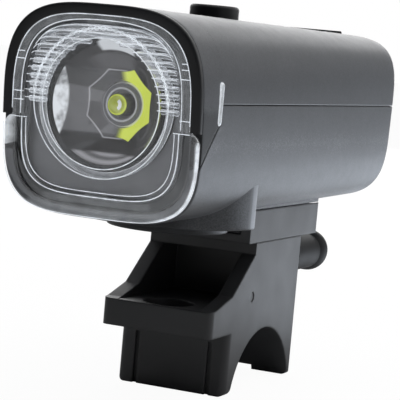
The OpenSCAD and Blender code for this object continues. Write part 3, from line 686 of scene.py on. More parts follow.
def mirror_metal(name):
    """Vapour-metallised bowl with painted reflections of the studio, glowing as a fixed pattern: a white
    crescent with grey swirls on the left, a white arc at the top and a paler one right of it, a pale zone
    under the top arc, the pale table at the lower left, a dark band and pale arcs below it, pale lines along
    the left facets and, on the right facets, the yellow of the light source."""
    crescent_x, band_z, low_z = -8.5, -5.0, -8.2
    mouth = BOWL_HIGH[0]
    throat = mouth - LIP_IN
    k = Look(name)
    x, z, r = k.beam()
    turn = z.angle(x)
    haze = k.noise(130.0, 3.0)
    swirl = k.noise(190.0, 3.0, rough=0.6)
    fold = turn.fold(math.pi / FACETS).cosine()
    line = (r * fold - FACET_IN).size().step(0.16, 0.05) * x.step(1.5, 0.5)
    glow = (r * fold**2).step(STAR_IN + 0.08, STAR_IN - 0.08) * x.step(-0.6, 1.0)
    lip = r.step(throat + 0.04, throat - 0.04)
    crescent = x.step(crescent_x, crescent_x - 0.4) * (swirl.step(0.34, 0.5) * 0.8 + 0.2) * lip
    arc_top = r.within(9.3, mouth - 0.3, 0.4) * turn.within(1.1, 1.86, 0.1)
    arc_right = r.within(9.8, mouth - 0.3, 0.4) * turn.within(0.35, 1.1, 0.15)
    below = z.step(band_z, band_z - 0.6)
    low_light = z.step(low_z, low_z - 0.6)
    band = below * (1.0 - low_light)
    arcs = (r * 5.0).cosine() * 0.5 + 0.5
    table = (z + x * 0.19).step(1.45, 1.1) * (1.0 - below) * x.step(0.0, -1.0)
    sky = r.step(5.8, 6.8) * r.step(9.4, 8.8) * turn.step(1.0, 1.3) * turn.step(2.3, 1.9)
    lights = table * 0.06 + sky * 0.06 + low_light * (arcs * 0.2 + 0.06) + line * 0.22
    grey = (0.014 + haze.step(0.35, 0.7) * 0.02 - band * 0.01 + lights) * lip
    # Painted reflections: white for the crescent and arcs, glowing grey elsewhere, the source's yellow on the
    # right facets.
    white = crescent.most(arc_top * 0.75).most(arc_right * 0.4)
    dark = k.node("ShaderNodeCombineColor", {}, {0: grey, 1: grey, 2: grey * 1.06})
    shine = k.mix(white, dark, (0.72, 0.75, 0.78, 1))
    shine = k.mix(glow * (0.75 + haze * 0.3), shine, rgba(bpy.context.scene.finishes.phosphor))
    shade = k.ramp(haze, (0.3, (0.04, 0.041, 0.042)), (0.7, (0.07, 0.071, 0.073)))
    rough = 0.04 + haze * 0.04
    surface = k.surface(
        Base_Color=shade, Metallic=1.0, Roughness=rough, Emission_Color=shine, Emission_Strength=1.0
    )
    return k.done(surface)


def collar_grey(name):
    """Grey moulded collar with pale rings on its inner lip and outer rim as painted highlights, and a painted
    glow of its own shade.
    """
    outer = COLLAR_HIGH[0]
    k = Look(name)
    r = k.beam()[2]
    edge_highlight = (r - (outer - 1.0)).size().step(0.22, 0.12).most(r.step(outer - 0.16, outer - 0.06))
    cloud = k.noise(300.0, 3.0)
    dark = k.ramp(cloud, (0.3, (0.12, 0.122, 0.13)), (0.7, (0.15, 0.153, 0.16)))
    shade = k.mix(edge_highlight, dark, (0.55, 0.56, 0.58, 1))
    # Painted glow of the collar's shade over all of it.
    surface = k.surface(
        Base_Color=shade,
        Roughness=0.32 + cloud * 0.08,
        Normal=k.edge(0.0001),
        Emission_Color=shade,
        Emission_Strength=0.35,
    )
    return k.done(surface)


def grey_plastic(name, colour, rough, metal=0.0):
    """Plain moulded or painted colour with a fine grain."""
    k = Look(name)
    cloud = k.noise(70.0, 3.0)
    shade = k.tones(cloud, colour, 0.9, 1.08)
    level = rough - 0.04 + cloud * 0.08
    normal = k.bump(k.noise(4200.0), 0.1, 0.00004, Normal=k.edge(0.0002))
    return k.done(k.surface(Base_Color=shade, Metallic=metal, Roughness=level, Normal=normal))


def baffle_paint(name):
    """Grey paint of the plate behind the lens."""
    return grey_plastic(name, bpy.context.scene.finishes.baffle, 0.42, 0.2)


def brushed_metal(name, colour, rough):
    """Plated metal with fine turning lines along the piece."""
    k = Look(name)
    stretch = k.node("ShaderNodeMapping", {}, {"Vector": k.place(), "Scale": (1.0, 1.0, 9.0)})
    lines = k.noise(900.0, 3.0, stretch)
    level = rough - 0.05 + lines * 0.1
    normal = k.bump(lines, 0.12, 0.00005, Normal=k.edge(0.00012))
    shade = k.tones(lines, colour, 0.85, 1.1)
    return k.done(k.surface(Base_Color=shade, Metallic=1.0, Roughness=level, Normal=normal))


def phosphor_cap(name):
    """Yellow-green phosphor under a clear dome, with a paler rim; a painted highlight of a lamp as a white
    crescent in the dome, and a painted glow over it all.
    """
    k = Look(name)
    x, z, r = k.beam()
    c = bpy.context.scene.finishes.phosphor
    rim = r.step(SOURCE_R - 0.55, SOURCE_R - 0.25)
    speck = k.noise(2400.0)
    middle = k.mix(speck * 0.4, rgba([v * 0.62 for v in c]), rgba([v * 0.5 for v in c]))
    crescent_highlight = (r - 0.85).size().step(0.34, 0.2) * z.angle(x).size().step(1.15, 0.9)
    shade = k.mix(crescent_highlight, k.mix(rim, middle, rgba(c)), (0.85, 0.87, 0.9, 1))
    # Painted glow of the phosphor's shade, with the painted crescent highlight in it.
    surface = k.surface(
        Base_Color=shade,
        Roughness=0.18 + speck * 0.08,
        Emission_Color=shade,
        Emission_Strength=0.5,
        Coat_Weight=1.0,
        Coat_Roughness=0.03,
    )
    return k.done(surface)


# Every finish by its name: the function that makes it and the values it takes
FINISH = {
    "metallic_grey_shell": (shell_paint,),
    "bezel_black_satin": (black_plastic, 5200.0, 0.06, 0.34, 0.0001, 1.7),
    "button_black_satin": (black_plastic, 6000.0, 0.05, 0.4, 0.0001),
    "rubber_black": (black_plastic, 2600.0, 0.2, 0.6, 0.00015),
    "bracket_black_grain": (black_plastic, 2600.0, 0.22, 0.46, 0.0005, 1.9, 1.75),
    # Painted shade: the lever's black is a far darker copy of the bracket's, for the knob in the bracket's
    # shadow.
    "lever_black_grain": (black_plastic, 2600.0, 0.22, 0.55, 0.0005, 0.4, 1.36),
    "clear_lens_plastic": (clear_plastic,),
    "mirror_metal": (mirror_metal,),
    "collar_grey_plastic": (collar_grey,),
    "post_grey_plastic": (grey_plastic, (0.1, 0.1, 0.105), 0.35),
    "phosphor_cap": (phosphor_cap,),
    "baffle_grey_paint": (baffle_paint,),
    "seal_silicone": (grey_plastic, (0.22, 0.225, 0.23), 0.5),
    "board_white_mask": (grey_plastic, (0.72, 0.72, 0.7), 0.5),
    "board_green_mask": (grey_plastic, (0.03, 0.15, 0.06), 0.4),
    "cell_sleeve": (grey_plastic, (0.06, 0.15, 0.34), 0.35),
    "plated_steel": (brushed_metal, (0.6, 0.61, 0.62), 0.32),
    "cast_aluminium": (brushed_metal, (0.62, 0.63, 0.65), 0.45),
}

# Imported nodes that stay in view, by their finish
NODE_FINISH = {
    "bracket_black_grain": ("bracket_base", "rail_receiver", "battery_cradle"),
    "lever_black_grain": ("release_lever",),
    "rubber_black": ("button_seal", "tactile_switch"),
    "plated_steel": ("usb_receptacle", "housing_screws", "receiver_screws", "lever_pivot_pin"),
    "cast_aluminium": ("heat_sink",),
    "seal_silicone": ("lens_seal",),
    "baffle_grey_paint": ("baffle_plate",),
    "board_white_mask": ("led_board",),
    "board_green_mask": ("driver_board",),
    "cell_sleeve": ("battery_cell",),
}


def finish(name):
    """A finish by name, made on first use."""
    maker, *values = FINISH[name]
    return bpy.data.materials.get(name) or maker(name, *values)


def wear(obj, name):
    """Gives an object one finish in place of any that it has."""
    obj.data.materials.clear()
    obj.data.materials.append(finish(name))


def settle(obj, body, paint, slot, *nodes):
    """Gives a piece its finish, the body it rides on and the nodes it stands for; the slot is not used."""
    wear(obj, paint)
    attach(obj, body)
    if nodes:
        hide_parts(*nodes)


# Shells

# Cutters: how far they pass the top, gaps round button and cover, and the recess below the cover's top
CUT_PAST, BUTTON_GAP, COVER_GAP, RECESS_T = 4.0, 0.3, 0.3, 1.9
# Scoops at both sides of the cover: radius, depth, and place behind its front
SCOOP_R, SCOOP_T, SCOOP_BACK = 5.0, 0.9, 8.0
# Painted shade on the skirt: its top above the window's middle, the run of its fade, and its depth
SKIRT_UP, SKIRT_FADE, SKIRT_SHADE_DEPTH = 1.0, 3.0, 0.95


def skirt_shade(x, y, z):
    """Painted shade on the skirt ahead of the side window: darker, fully so from a little below the window's
    middle.
    """
    return fade(WINDOW_Z + SKIRT_UP - z, SKIRT_FADE) * (y < WINDOW_Y) * SKIRT_SHADE_DEPTH


class HEADLIGHT_OT_upper_shell(bpy.types.Operator):
    """Builds the upper shell with its button hole, port recess and side slots"""

    bl_idname = "headlight.upper_shell"
    bl_label = "Upper Shell"

    def execute(self, context):
        shell = built("upper_shell_skin", shell_form, True)
        above = BODY_TOP + CUT_PAST
        ring = circle(0, BUTTON_Y, BUTTON_R + BUTTON_GAP, 72)
        hole = built("hole", slab, ring, BODY_TOP - CUT_PAST, above, 0, 0, "z", 2)
        bed = COVER_HIGH[2] - RECESS_T
        recess = built("recess", slab, cover_outline(COVER_GAP), bed, above, 0, 0, "z", 2)
        ball = arc(0, BODY_TOP + SCOOP_R - SCOOP_T, SCOOP_R, -89.9, 89.9, 25)
        scoop_y = COVER_LOW[1] + SCOOP_BACK
        scoops = [
            built("scoop", revolve, ball, (side * COVER_HIGH[0], scoop_y), "z", 48) for side in (-1, 1)
        ]
        cut(shell, hole, recess, *scoops, window_cutter())
        # Painted shade on the skirt ahead of the side window.
        mark(shell, "dull", skirt_shade)
        settle(shell, "light", "metallic_grey_shell", "shell_grey", "upper_shell")
        return {"FINISHED"}


# Foot: half circle, rear corners, lower rim, and how far it reaches down and up
FOOT_R, FOOT_Y, FOOT_CORNER, FOOT_RIM = 18.3, -27.7, 1.2, 0.45
FOOT_DROP, FOOT_UP = 1.8, 8.0
PAD_R, PAD_BACK, PAD_T, PAD_RIM = 11.5, 1.7, 1.85, 0.4
# Rail, web and saddle; each runs a little into what lies above it
RAIL_HALF, WEB_HALF, RAIL_T, RAIL_SHORT, RAIL_AHEAD = 9.2, 5.5, 1.7, 1.7, 0.3
OVERLAP, SADDLE_GAP, SADDLE_SINK = 0.1, 0.12, 1.5
# Painted light on the lower shell, painted shade on the foot, and painted highlight on the foot's rear
# corners
BELLY_DROP, BELLY_REACH, BELLY_MID = 7.3, 6.5, 0.4
BELLY_TURN, BELLY_FADE, BELLY_LOW = 4.4, 2.8, 1.2
FOOT_LIGHT_X, FOOT_FADE, FOOT_SHADE_RANGE = 22.0, 14.0, (0.7, 0.95)
CORNER_AHEAD, CORNER_FADE, CORNER_OUT = 2.6, 1.4, 3.0


def foot_form(form):
    """Foot under the body: a half circle in front and a straight rear with small round corners, carried up
    from its softened lower rim into the body; a round pad below it, and behind it the rail, its narrower
    web and the flat saddle that closes the gap above the receiver."""
    rail_z = node_box("lower_shell")[0][2]
    channel_low, channel_high = node_box("rail_receiver")
    bottom, sunk = BODY_LOW - FOOT_DROP, BODY_LOW + SADDLE_SINK
    inner = FOOT_R - FOOT_CORNER
    plan = np.concatenate(
        [
            arc(0, FOOT_Y, FOOT_R, 180, 360, 90),
            arc(inner, FOOT_Y, FOOT_CORNER, 10, 90),
            arc(-inner, FOOT_Y, FOOT_CORNER, 90, 170),
        ]
    )
    slab(form, plan, bottom, BODY_LOW + FOOT_UP, FOOT_RIM, 0.0)
    pad = circle(0, FOOT_Y + PAD_BACK, PAD_R, 96)
    slab(form, pad, bottom - PAD_T, bottom + OVERLAP, PAD_RIM, 0.0)
    rear = channel_high[1] - RAIL_SHORT
    rail = rounded_rect(-RAIL_HALF, RAIL_HALF, channel_low[1] - RAIL_AHEAD, rear, 2 * SMALL_R)
    slab(form, rail, rail_z, rail_z + RAIL_T, SMALL_R, SMALL_R / 2)
    web = rounded_rect(-WEB_HALF, WEB_HALF, FOOT_Y, rear, SMALL_R)
    slab(form, web, rail_z + RAIL_T - OVERLAP, sunk, 0.0, 0.0)
    saddle = rounded_rect(channel_low[0], channel_high[0], FOOT_Y, channel_high[1], SMALL_R)
    slab(form, saddle, channel_high[2] + SADDLE_GAP, sunk, SMALL_R / 2, 0.0)


def belly_light(x, y, z):
    """Painted light on the lower shell: a little half-way down, and most where it turns under behind the
    foot's front, close to the table."""
    mid = np.clip(1 - np.abs(PARTING_Z - BELLY_DROP - z) / BELLY_REACH, 0, 1)
    low = fade(BODY_LOW + BELLY_TURN - z, BELLY_FADE)
    return BELLY_MID * mid + BELLY_LOW * low * fade(y - FOOT_Y + FOOT_R, FOOT_R)


def foot_shade(x, y, z):
    """Painted shade: the foot is darker and without flake towards its left, away from the light."""
    return np.clip((FOOT_LIGHT_X - x) / FOOT_FADE, *FOOT_SHADE_RANGE)


def foot_corner_highlight(x, y, z):
    """Painted highlight on the foot's rear corners, where they would catch the light."""
    wall = (z > BODY_LOW - FOOT_DROP - OVERLAP) * (np.abs(x) > RAIL_HALF + CORNER_OUT)
    return fade(y - FOOT_Y + CORNER_AHEAD, CORNER_FADE) * wall


class HEADLIGHT_OT_lower_shell(bpy.types.Operator):
    """Builds the lower shell with its round foot and rail"""

    bl_idname = "headlight.lower_shell"
    bl_label = "Lower Shell"

    def execute(self, context):
        shell = built("lower_shell_skin", shell_form, False)
        cut(shell, window_cutter())
        # Painted light on the lower shell; painted shade and a painted highlight on the foot.
        mark(shell, "lit", belly_light)
        foot = built("lower_shell_foot", foot_form)
        mark(foot, "dull", foot_shade)
        mark(foot, "lit", foot_corner_highlight)
        for piece in (shell, foot):
            settle(piece, "light", "metallic_grey_shell", "shell_grey", "lower_shell")
        return {"FINISHED"}


# Bezel and lens

BEZEL_GAP, BEZEL_END, BEZEL_OUT_R, BEZEL_IN_R = 0.08, 0.1, 0.5, 0.2


def bezel_form(form):
    """Black band: a small section carried along the front outline from one lower end over the top to the
    other. The section is given by insets from the outline and depths behind the front plane."""
    w = bpy.context.scene.optic_sizes.bezel_w
    band = bpy.context.scene.body_sizes.band - BEZEL_GAP
    outer = arc(BEZEL_OUT_R, BEZEL_OUT_R, BEZEL_OUT_R, 180, 270)
    inner = arc(w - BEZEL_IN_R, BEZEL_IN_R, BEZEL_IN_R, -90, 0, 5)
    inset = np.concatenate([[w, 0.0], outer[:, 0], inner[:, 0]])
    depth = np.concatenate([[band, band], outer[:, 1], inner[:, 1]])
    start = float(angle_at(BIB_Z + BEZEL_END, FRONT_Y))
    theta = np.linspace(start, np.pi - start, 220)
    x, z = section(theta[:, None], FRONT_Y, inset[None])
    form.tube(np.stack([x, front_at(z) + depth[None], z], 2))


class HEADLIGHT_OT_bezel(bpy.types.Operator):
    """Builds the black bezel over the top and sides of the front"""

    bl_idname = "headlight.bezel"
    bl_label = "Bezel"

    def execute(self, context):
        settle(built("bezel_band", bezel_form), "light", "bezel_black_satin", "bezel_black", "front_bezel")
        return {"FINISHED"}


# Lens: gap to the bezel and shells, rim and bib, front and back of the plate behind the front plane
LENS_GAP, BAND_GAP = 0.12, 0.1
RIM_IN, RIM_TOP_IN, RIM_STEP, RIM_FRONT = 3.55, 2.75, 0.5, 0.06
BIB_IN, BIB_ROUND = 0.25, 2.0
EDGE_R, BIB_EDGE_R, FILLET_R = 0.35, 0.9, 0.3
PLATE_FRONT, PLATE_BACK = 0.35, 2.15
LENS_BACK = SHELL_FRONT - LENS_GAP
RING_IN, RING_OUT, RING_EDGE, RING_GAP, RING_BEHIND = 11.75, 12.95, 0.25, 0.3, 0.5
# Ribs: inner ends, highest rib, gap to the rim, where they bend, and how they end and lie on the plate
RIB_IN, RIB_TOP, RIB_GAP = 10.9, BODY_TOP - 3.4, 0.75
BEND_Z, BEND_RUN, BEND_SHARP = RIB_TOP - 6.4, 5.0, 2.2
RIB_SHORT, RIB_LEAST, RIB_BEHIND, RIB_FLAT = 0.1, 0.9, 0.02, 0.9
# Beads of painted highlight: depths, radius and loops; for each outline its inset, end above the bib, side
# and radius
LINE_DEPTH, INNER_DEPTH, LINE_R, RIB_LINE_UP = 0.22, 0.3, 0.08, 0.12
RING_LINE_IN, RING_LINE_R, LOOPS, LOOP_OUT, LOOP_R = 0.45, 0.1, 33, 0.3, 0.06
OUTLINES = (
    (1.95, 1.2, False, 0.09),
    (3.6, 0.4, False, 0.1),
    (3.9, -0.3, True, 0.1),
    (4.75, -0.4, True, 0.08),
    (0.3, -1.4, True, 0.08),
)
# Cross lines of painted highlight: side, far and near end inside the half width, and heights above the bib
TAB_DEPTH = 0.2
TABS = (
    (-1, 1.3, 4.4, (-0.2,)),
    (1, 1.3, 4.4, (-0.2,)),
    (-1, 1.6, 3.5, (11.3, 10.0, 4.3, 2.8)),
    (1, 1.5, 3.3, (11.6, 10.6, 9.0, 2.0)),
)
# Places of painted light on the lens: the bib's band, its upper left end, its right edge and its lowest rim
GLINT_DEPTH, BAND_UP, BAND_LEFT, BLOCK_IN, BLOCK_DOWN = 1.0, 8.0, 14.0, 2.6, 5.3
RIGHT_DOWN, RIGHT_FROM, RIGHT_IN, LOW_RIM_UP = 1.2, 9.0, 0.4, 2.2


def on_face(x, z, depth):
    """Points at a depth behind the raked front plane."""
    return np.stack([x, front_at(z) + depth, z], -1)


def rim_inset(theta):
    """Inset of the rim's inner edge: even at the sides and below, and narrower over the top."""
    return RIM_IN - (RIM_IN - RIM_TOP_IN) * np.clip(np.sin(theta), 0, 1) ** 4


def outline_run(inset, z_end, below):
    """Part of the front outline drawn in by an inset, above or below the height z_end. An inset of the
    rim's width or more narrows over the top as the rim does."""
    start = float(angle_at(z_end, FRONT_Y, inset))
    ends = (np.pi - start, 2 * np.pi + start) if below else (start, np.pi - start)
    theta = np.linspace(*ends, 200)
    narrow = rim_inset(theta) - RIM_IN if inset >= RIM_IN else 0.0
    return on_face(*section(theta, FRONT_Y, inset + narrow), LINE_DEPTH)


def lens_form(form):
    """Clear lens: round its outline a closed section runs from the back of the rim over its rounded front
    edge and the small step down to the plate, and back along the plate's rear and the rim's inner wall.
    Above the bezel's ends the outline lies inside the bezel; below, it widens in a quarter round to the
    bib, a little inside the full outline. The rim is narrower over the top."""
    w = bpy.context.scene.optic_sizes.bezel_w + LENS_GAP
    theta = np.linspace(-np.pi / 2, 1.5 * np.pi, 480, endpoint=False)
    _, z0 = section(theta, FRONT_Y)
    rim = rim_inset(theta)
    fall = fade(BIB_Z - z0, BIB_ROUND)
    out = w - (w - BIB_IN) * np.sqrt(1 - (1 - fall) ** 2) * (z0 < BIB_Z)
    r = np.where(z0 < BIB_Z, BIB_EDGE_R, EDGE_R)
    band = bpy.context.scene.body_sizes.band - BAND_GAP
    sunk = np.full_like(out, w + LENS_GAP)
    inset = [sunk, sunk, np.minimum(out, sunk)]
    depth = [np.zeros_like(out), np.full_like(out, band + BAND_GAP / 2), np.full_like(out, band)]
    for v in quarter(7):
        inset.append(out + r * (1 - np.cos(v)))
        depth.append(r * (1 - np.sin(v)) + RIM_FRONT)
    for v in np.linspace(0, np.pi, 9):
        inset.append(rim - RIM_STEP / 2 + RIM_STEP * v / np.pi)
        depth.append(np.full_like(out, RIM_FRONT + (PLATE_FRONT - RIM_FRONT) * (1 - np.cos(v)) / 2))
    inset, depth = np.stack(inset, 1), np.stack(depth, 1)
    x, z = section(theta[:, None], FRONT_Y, inset)
    y = front_at(z) + depth
    y[:, 0] = LENS_BACK
    p = np.stack([x, y, z], 2)
    k = np.linspace(1, 0, 16)[None, 1:, None]
    core = np.array([0, front_at(BEAM_Z) + PLATE_FRONT, BEAM_Z])
    form.grid(np.concatenate([p, core + (p[:, -1:] - core) * k], 1).transpose(1, 0, 2), wrap=True)
    b = quarter(5)
    step_in = np.concatenate([[FILLET_R], FILLET_R * (1 - np.sin(b)), [0]])
    x, z = section(theta[:, None], FRONT_Y, rim[:, None] + step_in[None])
    depth = np.concatenate([[PLATE_BACK], PLATE_BACK + FILLET_R * (1 - np.cos(b)), [0]])
    y = front_at(z) + depth[None]
    y[:, -1] = LENS_BACK
    q = np.stack([x, y, z], 2)
    core = np.array([0, front_at(BEAM_Z) + PLATE_BACK, BEAM_Z])
    inner = core + (q[:, :1] - core) * k[:, ::-1]
    form.grid(np.concatenate([inner, q, p[:, :1]], 1).transpose(1, 0, 2), wrap=True)


def rib_paths():
    """Centre lines of the ribs, one pitch apart. A rib runs level out from the ring round the reflector, as
    the soft minimum of its own height and the rim's height, so that the upper ones bend down near the rim's
    corners; the top ones pass over the ring from side to side."""
    s = bpy.context.scene.optic_sizes
    theta = np.linspace(0.02, np.pi - 0.02, 900)
    rim_x, rim_z = section(theta, FRONT_Y, rim_inset(theta) + RIB_GAP)
    right = slice(len(theta) // 2)
    for i in range(s.rib_count):
        z0 = RIB_TOP - i * s.rib_pitch
        bend = s.rib_bend * float(fade(z0 - BEND_Z, BEND_RUN))
        far = float(np.interp(z0 - bend, rim_z[right], rim_x[right])) - RIB_SHORT
        gap = RIB_IN**2 - (z0 - BEAM_Z) ** 2
        near = math.sqrt(gap) if gap > 0 else 0.0
        spans = [(-far, far)] if gap <= 0 else [(-far, -near), (near, far)]
        for x0, x1 in spans:
            if x1 - x0 > RIB_LEAST:
                x = np.linspace(x0, x1, 60)
                top = np.interp(x, rim_x[::-1], rim_z[::-1])
                yield x, -np.logaddexp(-BEND_SHARP * z0, -BEND_SHARP * top) / BEND_SHARP


def rib_form(form):
    """Ribs: half-round bars on the lens's back along the rib lines, their ends rounded off."""
    s = bpy.context.scene.optic_sizes
    v = np.linspace(0, np.pi, 9)
    for x, z in rib_paths():
        run = np.minimum(x - x[0], x[-1] - x) / s.rib_r
        size = s.rib_r * np.sqrt(np.clip(1 - (1 - np.clip(run, 0.002, 1)) ** 2, 1e-4, 1))
        zz = z[:, None] + np.outer(size, np.cos(v))
        yy = front_at(zz) + PLATE_BACK + RIB_BEHIND + np.outer(size, np.sin(v)) * RIB_FLAT
        form.tube(np.stack([np.repeat(x[:, None], len(v), 1), yy, zz], 2))


def ring_form(form):
    """Clear ring behind the ribs: a tube round the beam axis whose front follows the raked plate."""
    inner = arc(RING_IN + RING_EDGE, 0, RING_EDGE, 180, 90, 5)
    outer = arc(RING_OUT - RING_EDGE, 0, RING_EDGE, 90, 0, 5)
    prof = np.concatenate([inner, outer])
    back = SHELL_FRONT - RING_GAP - RING_EDGE
    t = around(160)
    radius = np.concatenate([[RING_IN], prof[:, 0], [RING_OUT]])
    x = np.outer(radius, np.cos(t))
    z = BEAM_Z + np.outer(radius, np.sin(t))
    y = np.concatenate([[0.0], back + prof[:, 1], [0.0]])[:, None] + 0 * x
    for row in (0, -1):
        y[row] = front_at(z[row]) + PLATE_BACK + RING_BEHIND
    p = np.stack([x, y, z], 2)
    form.grid(p, wrap=True)
    form.grid(np.stack([p[-1], p[0]]), wrap=True)


def line_form(form):
    """Thin beads that carry painted highlights where the lens shows bright lines: the rim's two edges above,
    the two edges of the U below and the bib's outline, the ring's two edges, a chain of small loops where the
    ribs meet the ring, one line along each rib, and the cross lines of the bib's tops and the clip tabs at
    both sides."""
    for inset, up, below, r in OUTLINES:
        bead(form, outline_run(inset, BIB_Z + up, below), r)
    t = around(240)
    for r in (RING_IN - RING_LINE_IN, RING_OUT):
        bead(form, on_face(r * np.cos(t), BEAM_Z + r * np.sin(t), INNER_DEPTH), RING_LINE_R, True)
    t = np.radians(np.linspace(4, 176, 700))
    for side in (-1, 1):
        r = RING_OUT + side * LOOP_OUT * np.sin(LOOPS * t)
        bead(form, on_face(r * np.cos(t), BEAM_Z + r * np.sin(t), INNER_DEPTH), LOOP_R)
    for x, z in rib_paths():
        bead(form, on_face(x, z + RIB_LINE_UP, INNER_DEPTH), LINE_R)
    for side, far, near, heights in TABS:
        across = np.linspace(*sorted((side * (HALF_W - far), side * (HALF_W - near))), 8)
        for up in heights:
            bead(form, on_face(across, np.full(8, BIB_Z + up), TAB_DEPTH), LINE_R)


def plate_glint(x, y, z):
    """Painted light on the lens: faint on its rim and along the bib's band, full at the bib's upper left end
    and along the bib's right edge, and in part along its lowest rim. The distance from the outline
    is taken along the ray from the core."""
    depth = y - front_at(z)
    theta = np.arctan2(z - CORE_Z, x)
    xo, zo = section(theta, FRONT_Y)
    inside = np.hypot(xo, zo - CORE_Z) - np.hypot(x, z - CORE_Z)
    shallow = depth < GLINT_DEPTH
    banded = inside < rim_inset(theta) + RIM_STEP / 2 + 0.05
    rim = 0.13 * (inside > bpy.context.scene.optic_sizes.bezel_w - 0.25) * banded * (z > BIB_Z)
    bib_band = 0.1 * banded * fade(BODY_LOW + BAND_UP - z, 3) * fade(x + BAND_LEFT, 5)
    block_left = 0.85 * (x < BLOCK_IN - HALF_W) * (z > BIB_Z - BLOCK_DOWN) * (z < BIB_Z)
    low_right = fade(BIB_Z - RIGHT_DOWN - z, 0.8) * fade(x - RIGHT_FROM, 3)
    edge_right = 0.95 * np.clip(1.6 - np.abs(inside - RIGHT_IN) / 0.25, 0, 1) * low_right
    low_rim = 0.1 * fade(BODY_LOW + LOW_RIM_UP - z, 1.0)
    return (rim + bib_band + block_left + np.maximum(edge_right, low_rim)) * shallow


def rib_glint(x, y, z):
    """Painted light on the ribs: a little all over, and more in a broad patch on the left."""
    low, high, soft = BIB_Z + 1.4, BIB_Z + 11.0, 0.8
    side = fade(-RIB_IN + 0.5 - x, 1.2) * fade(high - z, soft) * fade(z - low, soft)
    return 0.06 + 0.2 * side


class HEADLIGHT_OT_lens(bpy.types.Operator):
    """Builds the clear lens: rim, bib, ribs, the ring round the reflector and beads of painted highlight
    along its edges
    """

    bl_idname = "headlight.lens"
    bl_label = "Lens"

    def execute(self, context):
        # Each piece stores its painted light as glint: plate and ribs by rules, the ring faintly, the beads
        # strongly.
        for name, shape, sharp, glint in (
            ("lens_plate", lens_form, 40.0, plate_glint),
            ("lens_ribs", rib_form, 50.0, rib_glint),
            ("lens_ring", ring_form, 50.0, even(0.12)),
            ("lens_highlight_beads", line_form, 50.0, even(0.75)),
        ):
            piece = built(name, shape, sharp=sharp)
            mark(piece, "glint", glint)
            settle(piece, "light", "clear_lens_plastic", "clear_lens", "front_lens")
        return {"FINISHED"}


# Reflector and light source

# Radius that stands for the axis in turned profiles
AXIS_R = 0.02
# Reflector: facets round the collar, lip inside the lens's ring, flange, and wall
FACETS, FACET_IN, STAR_IN = 8, 6.0, 5.8
LIP_T, LIP_IN, FLANGE_T, FLANGE_GAP = 0.6, 2.1, 0.8, 0.1
ROOT_GAP, ROOT_STEP, BOWL_T = 0.3, 0.35, 0.9
COLLAR_W, COLLAR_STEP, COLLAR_LIP, COLLAR_EDGE = 1.2, 0.4, 0.5, 0.15
LIP_EDGE, LIP_FOOT = 0.12, 0.05
SOURCE_R, SOURCE_EDGE, CAP_RISE, CAP_IN, CAP_SINK = 1.95, 0.12, 0.8, 0.1, 0.1


def reflector_form(form):
    """Reflector: a parabola turned about the beam axis, with a lip inside the lens's ring and a flange
    behind it. Round the collar the bowl is faceted: from a round hole, straight rows run out to a polygon
    on the parabola, r = the polygon's inner radius / cos(angle from the middle of its side)."""
    mouth, apex = BOWL_LOW[1], BOWL_HIGH[1]
    rim = BOWL_HIGH[0]
    root = COLLAR_HIGH[0] + ROOT_GAP
    mouth_r = rim - LIP_IN
    flange = SHELL_FRONT + FLANGE_GAP
    spread = mouth_r**2 / (apex - mouth)
    t = around(192)
    half_side = np.pi / FACETS
    fold = np.abs((t + half_side) % (2 * half_side) - half_side)
    polygon = FACET_IN / np.cos(fold)
    root_level = apex - root**2 / spread - ROOT_STEP
    k = np.linspace(0, 1, 8)[:, None]
    facet_r = root + (polygon - root) * k
    facet_y = root_level + (apex - polygon**2 / spread - root_level) * k
    k = np.linspace(0, 1, 36)[1:, None]
    bowl_r = polygon + (mouth_r - polygon) * k
    bowl_y = apex - bowl_r**2 / spread
    outer_r = np.linspace(np.sqrt(spread * (apex - flange - FLANGE_T)), root, 16)[:, None] + 0 * t
    outer_y = apex - outer_r**2 / spread
    lip_r = mouth_r + LIP_T
    skirt = np.array([[lip_r, mouth], [lip_r, flange], [rim, flange], [rim, flange + FLANGE_T]])
    neck = np.array([[root + BOWL_T, apex], [root, apex], [root, root_level]])
    radius = np.concatenate([facet_r, bowl_r, skirt[:, :1] + 0 * t, outer_r + BOWL_T, neck[:, :1] + 0 * t])
    level = np.concatenate([facet_y, bowl_y, skirt[:, 1:] + 0 * t, outer_y, neck[:, 1:] + 0 * t])
    form.grid(np.stack([radius * np.cos(t), level, BEAM_Z + radius * np.sin(t)], 2), wrap=True)


def collar_form(form):
    """Collar round the light source: a turned ring with a raised inner lip and softened edges."""
    inner, outer = COLLAR_HIGH[0] - COLLAR_W, COLLAR_HIGH[0]
    back, front = COLLAR_HIGH[1], COLLAR_LOW[1]
    face = front + COLLAR_STEP
    lip = inner + COLLAR_LIP
    prof = np.concatenate(
        [
            [[inner, back], [outer, back]],
            arc(outer - COLLAR_EDGE, face + COLLAR_EDGE, COLLAR_EDGE, 0, -90, 4),
            [[lip + LIP_FOOT, face]],
            arc(lip - LIP_EDGE, front + LIP_EDGE, LIP_EDGE, 0, -90, 4),
            arc(inner + LIP_EDGE, front + LIP_EDGE, LIP_EDGE, -90, -180, 4),
            [[inner, back]],
        ]
    )
    revolve(form, prof, (0, BEAM_Z), "y", 96)


def post_form(form):
    """Post of the light source: straight sides with a small round rim that holds the cap."""
    base, top = SOURCE_HIGH[1], SOURCE_LOW[1] + CAP_RISE
    edge = arc(SOURCE_R - SOURCE_EDGE, top + SOURCE_EDGE, SOURCE_EDGE, 0, -90, 5)
    prof = np.concatenate([[[AXIS_R, base], [SOURCE_R, base]], edge, [[AXIS_R, top]]])
    revolve(form, prof, (0, BEAM_Z), "y", 72)


